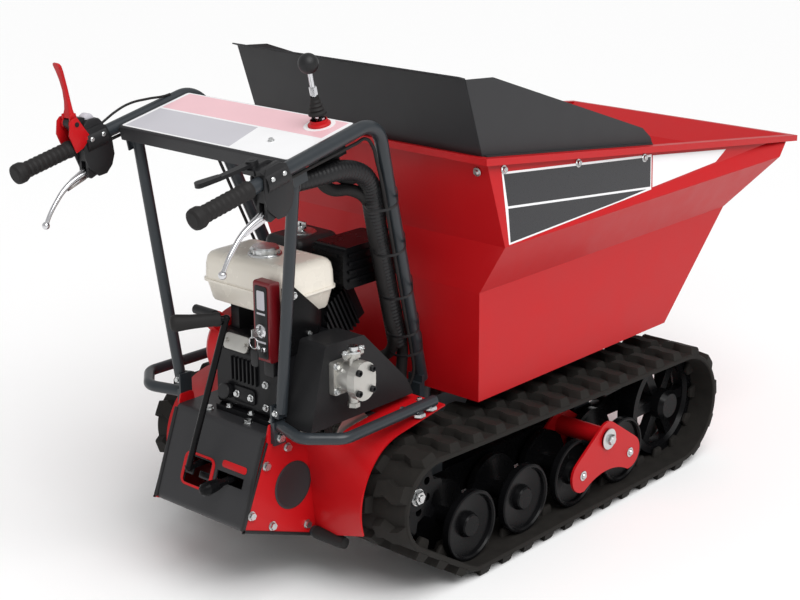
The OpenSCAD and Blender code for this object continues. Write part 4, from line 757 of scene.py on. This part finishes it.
dash_bolt = bmesh.new()
hex_bolt(dash_bolt, on_handle(315, -142, 6.6), above_handle, 5, 1.4)
piece("dash_bolt", dash_bolt, "zinc_steel", "chassis")

# %% [markdown]
# Four screws on each face close a perch, and a cable with a plated ferrule leaves it for the dash.

# %% Perch screws and ferrules
perch_screws = bmesh.new()
ferrules = bmesh.new()
screw_head = [(0, -1), (5, -1), (5, 1.6), (3.6, 3), (0, 3)]
for side in (-1, 1):
    for s, w in ((176, 8), (206, 8), (196, -30), (174, -60)):
        reach = 24.6 if w > 0 else 15
        for way in (side, -side):
            spot = on_handle(s, side * handle_y + way * reach, w)
            lathe(perch_screws, stand(spot, (0, way, 0)), screw_head, 18)
    lathe(ferrules, stand(on_handle(213, side * handle_y, -20), along_handle), [
        (0, 0), (6.5, 0), (6.5, 5), (5, 6), (5, 17), (4.2, 19), (4.2, 26), (0, 26)], 16)
piece("perch_screws", perch_screws, "zinc_steel", "chassis")
piece("cable_ferrules", ferrules, "bright_steel", "chassis")

# %% [markdown]
# A moulded housing wraps each perch: two side shells, and on the left a switch block with a pale
# button on top and a thin cable that runs along the handle to the dash. Outlines on a handle are
# given as distance along the tube and height above it, so a seat that looks at the handle from
# its side puts them in the right place.

# %% Perch housings


def handle_side(y):
    return axes(along_handle, above_handle, along_handle.cross(above_handle), on_handle(0, y, 0))


shell = [
    (153, -26), (158, -52), (176, -74), (196, -76), (214, -64), (226, -44), (229, -8), (221, 22), (206, 29),
    (170, 29), (160, 10),
]
housings = bmesh.new()
for side in (-1, 1):
    for y in (side * handle_y + 19, side * handle_y - 14.8):
        slab(housings, handle_side(y), shell, 4.2, 1.4)
slab(housings, handle_side(handle_y + 17), [
    (169, 12), (216, 12), (219, 26), (211, 40), (196, 44), (177, 45), (169, 38)], 34, 3.5)
piece("perch_housings", housings, "black_plastic", "chassis")
plate("switch_button", handle_side(handle_y + 9), [
    (176, 43), (206, 41), (201, 52), (190, 57), (180, 54)], 18, 3, "tank_white", "chassis", "printed_grey")
switch_line = [(212, 20), (232, 25), (262, 32), (300, 35), (350, 27), (392, 17), (410, 15)]
switch_path = [on_handle(s, handle_y - 4, w) for s, w in switch_line]
sweep("switch_cable", switch_path, 2.6, "grip_rubber", "chassis")

# %% [markdown]
# The steering levers are forged: a broad root with an eye for the pin, a blade that thins as it
# curves down and back, and a ball at the tip so that a hand can't be speared. A tube whose radius
# shrinks along its path makes the blade.

# %% Steering levers
blade_line = [(165, -61), (150, -62.5), (120, -67), (95, -76), (72, -91), (50, -109), (34, -127)]
blade_swell = [1.0, 1.0, 0.92, 0.82, 0.74, 0.68, 0.66]
blade_root = [(168, -49), (150, -52), (120, -60), (98, -71), (103, -81), (126, -78), (150, -75), (168, -71)]
pin_hole, eye_rim = 5.1, 12
eye = [
    (pin_hole, -6), (eye_rim - 1, -6), (eye_rim, -5), (eye_rim, 5), (eye_rim - 1, 6), (pin_hole, 6),
    (pin_hole, -6),
]
tip_s, tip_w = blade_line[-1]
for side, word in reversed(sides):
    y = side * handle_y
    lever = bmesh.new()
    tube(lever, [on_handle(s, y, w) for s, w in blade_line], 6.6, blade_swell)
    slab(lever, handle_side(y + 4), blade_root, 8, 2.4)
    lathe(lever, stand(on_handle(tip_s, y, tip_w), (0, 0, 1)), ball(8, 12), 24)
    lathe(lever, stand(on_handle(172, y, -60), (0, 1, 0)), eye, 32)
    made = piece("steering_blade_" + word, lever, "bright_steel", word + "_steering")
    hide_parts("steering_lever_" + word)

# %% [markdown]
# The red dead-man lever stands in a red hood that clips over the handle. The lever is a fork with
# an eye on each side and a blade that narrows and then flares for the palm. The hood is two cheeks
# outside the fork, joined by a bridge in front of it, so it never meets the lever on its way down.

# %% Dead-man lever and hood
pivot_s, pivot_w = 150, 50
press = bmesh.new()
press_eye = [(5.1, -2.4), (10.6, -2.4), (11.2, -1.8), (11.2, 1.8), (10.6, 2.4), (5.1, 2.4), (5.1, -2.4)]
for y in (12, -12):
    lathe(press, stand(on_handle(pivot_s, handle_y + y, pivot_w), (0, 1, 0)), press_eye, 32)
    slab(press, handle_side(handle_y + y + 2.4), [(142, 57), (160, 57), (160, 70), (145, 70)], 4.8, 0.8)
loft(press, handle_seat(0, handle_y, 0), [
    ([(s + x, y) for x, y in rounded_outline(2 * deep, 2 * half, min(deep, half) * 0.8)], w)
    for w, s, half, deep in (
        (63, 152, 14.4, 7), (69, 153, 13.6, 6), (79, 155, 10, 5), (95, 157, 7.6, 4.6),
        (118, 158.5, 6.4, 4.4), (140, 158, 7.2, 4.2), (158, 156.5, 9.4, 3.8), (170, 154.5, 11, 3.4),
        (175, 153, 9.6, 2.8), (177, 152, 7, 2))
])
made = piece("deadman_press", press, "red_paint", "deadman", crease=50)
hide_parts("deadman_lever")
hood = bmesh.new()
cheek = [(126, 33), (135, 58), (144, 64), (155, 63), (170, 27), (168, 8), (152, -2), (134, -6), (130, 12)]
for y in (22.6, -19):
    slab(hood, handle_side(handle_y + y), cheek, 3.6, 0.9)
slab(hood, handle_side(handle_y + 20), [(164, 30), (169, 31), (176, 18), (171, 16)], 40, 0.8)
piece("deadman_hood", hood, "red_paint", "chassis")

# %% [markdown]
# The electric start box is a red frame round a black front, with a pale window, two plain label
# strips, a plated key switch and two small knobs. The key hangs with its ring and a plain fob,
# which ride with the key.

# %% Start box front
box_front = -692
box_y = -112.5
field_x = box_front - 1.5
key_x = -716
plate("start_front", rear_seat(at(box_front, box_y, 616)), rounded_outline(35, 152, 5), 1.6, 0.5,
      "black_plastic", "chassis")
fields = bmesh.new()
slab(fields, rear_seat(at(field_x, box_y, 662)), rounded_outline(22, 40, 3), 0.7, 0.3)
for z in (634, 574):
    slab(fields, rear_seat(at(field_x, box_y, z)), rounded_outline(24, 4, 1), 0.6)
piece("start_fields", fields, "zinc_steel", "chassis", look="printed_grey")
switch = bmesh.new()
for y, z, steps, profile in (
    (0, 598, 32, [(4.4, 0), (14.5, 0), (14.5, 3), (13, 4.6), (9, 5.6), (4.4, 5.6), (4.4, 0)]),
    (-7, 560, 20, [(0, 0), (6, 0), (6, 4), (4.5, 6), (0, 6)]),
    (8, 562, 20, [(0, 0), (5, 0), (5, 3), (3.5, 4.6), (0, 5)]),
):
    lathe(switch, stand(at(box_front - 1, box_y + y, z), (-1, 0, 0)), profile, steps)
piece("start_switch", switch, "bright_steel", "chassis")
plate("box_foot", rear_seat(at(-666, box_y, 514)), rounded_outline(27, 35, 3), 10.5, 0.8,
      "black_plastic", "chassis")
ring_path = [at(key_x, *on_circle(box_y, 579, 12, 30 * k)) for k in range(13)]
sweep("key_ring", ring_path, 0.9, "bright_steel", "key")
fob_seat = Matrix.Translation(at(key_x, box_y, 546)) @ Matrix.Rotation(math.radians(90), 4, "Y")
plate("key_fob", fob_seat, rounded_outline(36, 20, 7), 4, 1.2, "black_plastic", "key")

# %% [markdown]
# The pump is held to the belt cover by four plated bolts, its end plate by four black socket
# screws, and its ports carry plated unions.

# %% Pump fasteners
crank = (-582, 502)
pump_face = -225
screws = bmesh.new()
bolts = bmesh.new()
for x, z in ((-20, -20), (20, -20), (-20, 24), (20, 24)):
    socket_screw(screws, at(crank[0] + x, pump_face - 66, crank[1] + z), (0, -1, 0), 7)
for x in (-27, 27):
    for z in (-27, 27):
        hex_bolt(bolts, at(crank[0] + x, pump_face - 13, crank[1] + z), (0, -1, 0), 6, 1.3)
for x in (-24, 24):
    hex_bolt(bolts, at(crank[0] + x, pump_face - 34, crank[1] + 58), (0, 0, 1), 6, 1.3)
lathe(bolts, stand(at(crank[0], pump_face - 34, crank[1] + 56), (0, 0, 1)), [
    (0, 0), (15.5, 0), (15.5, 3), (11, 6), (11, 13), (0, 14)], 24)
piece("pump_screws", screws, "black_iron", "chassis")
piece("pump_bolts", bolts, "zinc_steel", "chassis")

# %% [markdown]
# The engine is bolted down to the deck. A sheet bracket carries the start box, a spark plug with
# its rubber cap sits in the head, and the filler plug is low on the crankcase.

# %% Engine details
engine_bolts = bmesh.new()
for x, y in ((-671.5, 16), (-671.5, -50), (-671.5, -112), (-492, -112), (-492, 30)):
    hex_bolt(engine_bolts, at(x, y, 397), (0, 0, 1), 6, 1.3)
hex_bolt(engine_bolts, at(-640, -152, 668), (0, -1, 0), 6, 1.4)
hex_bolt(engine_bolts, at(-598, -152, 578), (0, -1, 0), 4.5, 1.3)
piece("engine_bolts", engine_bolts, "zinc_steel", "chassis")
bracket_seat = axes((1, 0, 0), (0, 0, 1), (0, -1, 0), at(0, -150, 0))
bracket = [(-672, 540), (-600, 545), (-566, 578), (-562, 616), (-636, 684), (-672, 690)]
plate("box_bracket", bracket_seat, bracket, 2.5, 0.6, "black_paint", "chassis")
plug_lean = math.radians(27)
plug_axis = Vector((math.cos(plug_lean), 0, math.sin(plug_lean)))
plug_seat = stand(at(crank[0], -55, crank[1]) + plug_axis * 206 * mm, plug_axis)
turned("spark_plug", plug_seat, [
    (0, -1), (11, -1), (11, 8), (8, 9), (8, 16), (0, 16)], 6, "zinc_steel", "chassis")
turned("plug_cap", plug_seat, [
    (0, 14), (10, 14), (10.5, 18), (9, 34), (9.5, 36), (7, 40), (0, 41)], 24, "grip_rubber", "chassis")
lead_start = plug_seat @ at(0, 0, 36)
sweep("plug_lead", [
    lead_start, lead_start + at(10, 16, -12), lead_start + at(-6, 46, -52), at(-480, 32, 566),
    at(-500, 44, 540)], 3.5, "grip_rubber", "chassis")
turned("oil_filler", stand(at(-667, 20, 430), (-1, 0, 0.25)), [
    (0, -4), (15, -4), (15, 6), (12, 7), (12, 10), (17, 11), (17, 17), (15, 19), (0, 19)],
    28, "black_plastic", "chassis")

# %% [markdown]
# The fuel tank is two pressed halves with a flange between them. Lofting rounded rectangles from
# the floor to the top gives the taper of the lower half and the rounded shoulder of the upper one.
# A plated neck ring sits round the cap, the filter has a plated top with a wing nut, and a
# cast cover closes the rear of the crankcase above a row of cooling ribs.

# %% Fuel tank, filter top and case cover
tank_middle = at(-580.5, -20, 0)
tank = bmesh.new()
loft(tank, Matrix.Translation(tank_middle), [
    (rounded_outline(2 * x, 2 * y, r, 8), z) for z, x, y, r in (
        (611, 58, 107, 12), (612.5, 62, 111, 14), (618, 65, 114, 16), (655, 73, 122.5, 20),
        (655.2, 79, 128.5, 25), (659.8, 79, 128.5, 25), (660, 75.5, 125, 21), (692, 74, 123.5, 20),
        (707, 71, 120.5, 19), (714, 66, 115.5, 17), (718, 58, 107.5, 14), (719, 50, 99.5, 11))
])
made = piece("tank_shell", tank, "tank_white", "chassis", crease=34)
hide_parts("fuel_tank")
turned("tank_neck", stand(at(-590, -20, 0), (0, 0, 1)), [
    (31, 718.4), (36, 718.4), (36, 721), (34.4, 723.4), (31, 723.4), (31, 718.4)],
    48, "zinc_steel", "chassis")
filter_top = bmesh.new()
filter_seat = stand(at(-416, 49, 0), (0, 0, 1))
lathe(filter_top, filter_seat, [(0, 717.6), (33, 717.6), (33, 719), (28, 722), (0, 722.4)], 40)
lathe(filter_top, filter_seat, [(0, 722), (8, 722), (7, 729), (4.6, 731), (0, 731)], 24)
wing_seat = filter_seat @ axes((0, 1, 0), (0, 0, 1), (1, 0, 0), at(-2.6, 0, 0))
slab(filter_top, wing_seat, [(-15, 741), (-16, 733), (-7, 725.5), (7, 725.5), (16, 733), (15, 741)], 5.2, 1.2)
piece("filter_top", filter_top, "zinc_steel", "chassis")
case_up, case_out = Vector((14, 0, 35)).normalized(), Vector((-35, 0, 14)).normalized()
case_seat = rear_seat(at(-660, -5, 539.5), case_up, case_out)
case_cover = bmesh.new()
slab(case_cover, case_seat, rounded_outline(72, 34, 9), 6, 2)
for x in (-28, 28):
    hex_bolt(case_cover, case_seat @ at(x, 0, 6), case_out, 4.2, 1.3)
piece("case_cover", case_cover, "cast_alloy", "chassis")
ribs = bmesh.new()
rib_x = -666.8
for y in range(-66, 8, 12):
    slab(ribs, rear_seat(at(rib_x, y, 486)), rounded_outline(4, 52, 2), 6, 1)
slab(ribs, rear_seat(at(rib_x, -30, 433)), rounded_outline(64, 34, 8), 5, 1.5)
piece("case_ribs", ribs, "black_iron", "chassis")
drains = bmesh.new()
for y, z in ((-52, 433), (-10, 433), (-92, 470), (-92, 420)):
    hex_bolt(drains, at(-672 if y > -60 else -667, y, z), (-1, 0, 0), 6, 1.35)
piece("case_bolts", drains, "zinc_steel", "chassis")

# %% [markdown]
# The mudguards are bent from sheet: a lower edge that follows the track's wheel, an upper edge that
# follows the side plate, and straight lines between the two. A grid laid along those lines and then
# given its thickness is a smooth sheet. On the right a slot is left for the drive belt. Bolts hold
# the sheets, and a short rubber-covered peg stands below the right-hand one.

# %% Mudguards and peg
guard_end = (-346, 388)
guard_y = track_y + 4
guard_radius = 150
guard_sheet = 4
slot_x, slot_y, slot_z = -455, 205, 347
outer_edge = [on_circle(*sprocket, guard_radius, a) for a in range(198, 98, -3)] + [guard_end]
inner_edge = [(-574, 116), (-600, 336), (-600.4, 349), (-596, 362), (-586, 370), (-573, 374.4), guard_end]


def along_line(line, share):
    runs = [math.dist(a, b) for a, b in zip(line, line[1:])]
    left = share * sum(runs)
    for a, b, run in zip(line, line[1:], runs):
        if left <= run:
            return [p + (q - p) * left / run for p, q in zip(a, b)]
        left -= run
    return list(line[-1])


def on_guard(side, share, across):
    edges = zip(along_line(outer_edge, share), along_line(inner_edge, share))
    x, z = (a + (b - a) * across for a, b in edges)
    return at(x, side * (guard_y + (plate_face - guard_y) * across), z)


guards = bmesh.new()
length_steps, across_steps = 56, 12
for side in (-1, 1):
    rows = []
    for k in range(length_steps + 1):
        places = [on_guard(side, k / length_steps, j / across_steps) for j in range(across_steps + 1)]
        rows.append([guards.verts.new(place) for place in places])
    for a, b in zip(rows, rows[1:]):
        for j in range(across_steps):
            corners = (a[j], a[j + 1], b[j + 1], b[j])
            middle = sum((v.co for v in corners), Vector()) / 4 / mm
            in_slot = middle.x < slot_x and abs(middle.y) < slot_y and middle.z > slot_z
            if side > 0 or not in_slot:
                guards.faces.new(corners)
loose = [v for v in guards.verts if not v.link_faces]
bmesh.ops.delete(guards, geom=loose, context="VERTS")
bmesh.ops.recalc_face_normals(guards, faces=guards.faces)
sheet = guards.faces[:] + guards.edges[:] + guards.verts[:]
bmesh.ops.solidify(guards, geom=sheet, thickness=guard_sheet * mm)
bmesh.ops.recalc_face_normals(guards, faces=guards.faces)
made = piece("smooth_mudguards", guards, "red_paint", "chassis", crease=50)
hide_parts("mudguards")
guard_feet = ((-420, 380.8), (-384, 386.2))
guard_bolts = bmesh.new()
for side in (-1, 1):
    for share in (0.84, 0.965):
        spot = on_guard(side, share, 0.36)
        square = (on_guard(side, share + 0.01, 0.36) - spot).cross(on_guard(side, share, 0.4) - spot) * -side
        hex_bolt(guard_bolts, spot, square, 5.5, 1.3)
    for x, z in guard_feet:
        foot = stand(at(x, side * (track_y - 4), z), (0, 0, 1))
        lathe(guard_bolts, foot, [(9.4, 0), (14, 0), (14, 6), (12.4, 7.4), (9.4, 7.4), (9.4, 0)], 6)
piece("guard_bolts", guard_bolts, "zinc_steel", "chassis")
turned("peg_cover", stand(at(-584, -plate_face - 1, 128), (0, -1, 0)), [
    (12.1, 8), (13.4, 8), (13.6, 20), (13.6, 82), (12.4, 90), (8, 93.2), (0, 93.6), (0, 92.4), (12.1, 92.4),
    (12.1, 8)], 28, "grip_rubber", "chassis")

# %% [markdown]
# A rubber track is moulded in one piece: a flat belt, two rows of guide horns inside it and two rows
# of lugs outside, half a pitch apart. The belt wraps three circles, so a place on it is found by
# walking along arcs and straight runs. Lugs and horns are lofts that shrink towards the top, and
# the lugs' long sides are kinked so that they grip sideways too. Rubber flexes; here the ground run
# is made as two stretches of its own, behind and in front of the bogie's pivot.

# %% Tracks
belt_circles = [(-313, wheel_z, 80.4), (466, 157.4, 128.4), (*sprocket, 94)]
lug_count = 34
lug_steps = 8
lug_row, horn_row = 45, 30.5
rounding = 0.001


def run_angle(a, b):
    return math.atan2(b[1] - a[1], b[0] - a[0]) - math.acos((a[2] - b[2]) / math.dist(a[:2], b[:2]))


belt_walk = []
for i, here in enumerate(belt_circles):
    after = belt_circles[(i + 1) % 3]
    start = run_angle(belt_circles[i - 1], here)
    turn = (run_angle(here, after) - start) % math.tau
    run = math.sqrt(math.dist(here[:2], after[:2]) ** 2 - (here[2] - after[2]) ** 2)
    belt_walk.append((here, start, turn, here[2] * turn, run))
lug_pitch = sum(arc + run for *_, arc, run in belt_walk) / lug_count


def on_belt(s, y, out):
    s %= lug_pitch * lug_count
    for (x, z, radius), start, turn, arc, run in belt_walk:
        if s <= arc + run + rounding:
            a, past = start + turn * min(1, s / arc), max(0, s - arc)
            return at(x + (radius + out) * math.cos(a) - past * math.sin(a), y,
                      z + (radius + out) * math.sin(a) + past * math.cos(a))
        s -= arc + run


def moulded(shape, s, y, outline, rings):
    stack(shape, [
        [on_belt(s + u * narrow, y + v * short, out) for u, v in outline] for out, narrow, short in rings])


belt_edge = [(-90, 2.5), (-87.5, 0), (87.5, 0), (90, 2.5), (90, 9), (86, 12), (-86, 12), (-90, 9)]
kinks = [(-3, -43), (4, -14), (-4, 14), (3, 43)]
lug_outline = [(u - 15, v) for u, v in kinks] + [(u + 15, v) for u, v in reversed(kinks)]
horn_outline = rounded_outline(36, 11, 4, 3)
lug_rings = [(11, 1.14, 1), (25, 0.94, 0.9), (29, 0.8, 0.83)]
horn_rings = [(1, 1, 1), (-16, 0.8, 0.84), (-20, 0.62, 0.6)]
ground_offset = belt_walk[0][3] - belt_circles[0][0]
rear_cut, middle_cut, front_cut = (
    round((ground_offset + x) * lug_steps / lug_pitch) for x in (-120, pivot[0], 445)
)


def track_stretch(name, side, first, last, body):
    track = bmesh.new()
    stations = [
        [track.verts.new(on_belt(k * lug_pitch / lug_steps, side * track_y + y, out)) for y, out in belt_edge]
        for k in range(first, last + 1)
    ]
    for a, b in zip(stations, stations[1:]):
        for j in range(len(belt_edge)):
            track.faces.new((a[j], a[j - 1], b[j - 1], b[j]))
    for end in (stations[0], stations[-1]):
        track.faces.new(end)
    for i in range(2 * lug_count):
        for row, phase in ((-1, 0.25), (1, 0.75)):
            if first <= (i + phase) * lug_steps < last:
                lug_y = side * (track_y + row * lug_row)
                moulded(track, (i + phase) * lug_pitch, lug_y, lug_outline, lug_rings)
            if first <= (i + 0.5) * lug_steps < last:
                horn_y = side * (track_y + row * horn_row)
                moulded(track, (i + 0.5) * lug_pitch, horn_y, horn_outline, horn_rings)
    bmesh.ops.recalc_face_normals(track, faces=track.faces)
    return piece(name, track, "track_rubber", body, crease=30)


for side, word in sides:
    made = track_stretch("track_loop_" + word, side, front_cut, rear_cut + lug_steps * lug_count, "chassis")
    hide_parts("track_" + word)
    for name, first, last, still, rocking in (
        ("track_rear_", rear_cut, middle_cut, -110, 48), ("track_front_", middle_cut, front_cut, 440, 266)
    ):
        made = track_stretch(name + word, side, first, last, None)
        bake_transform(made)
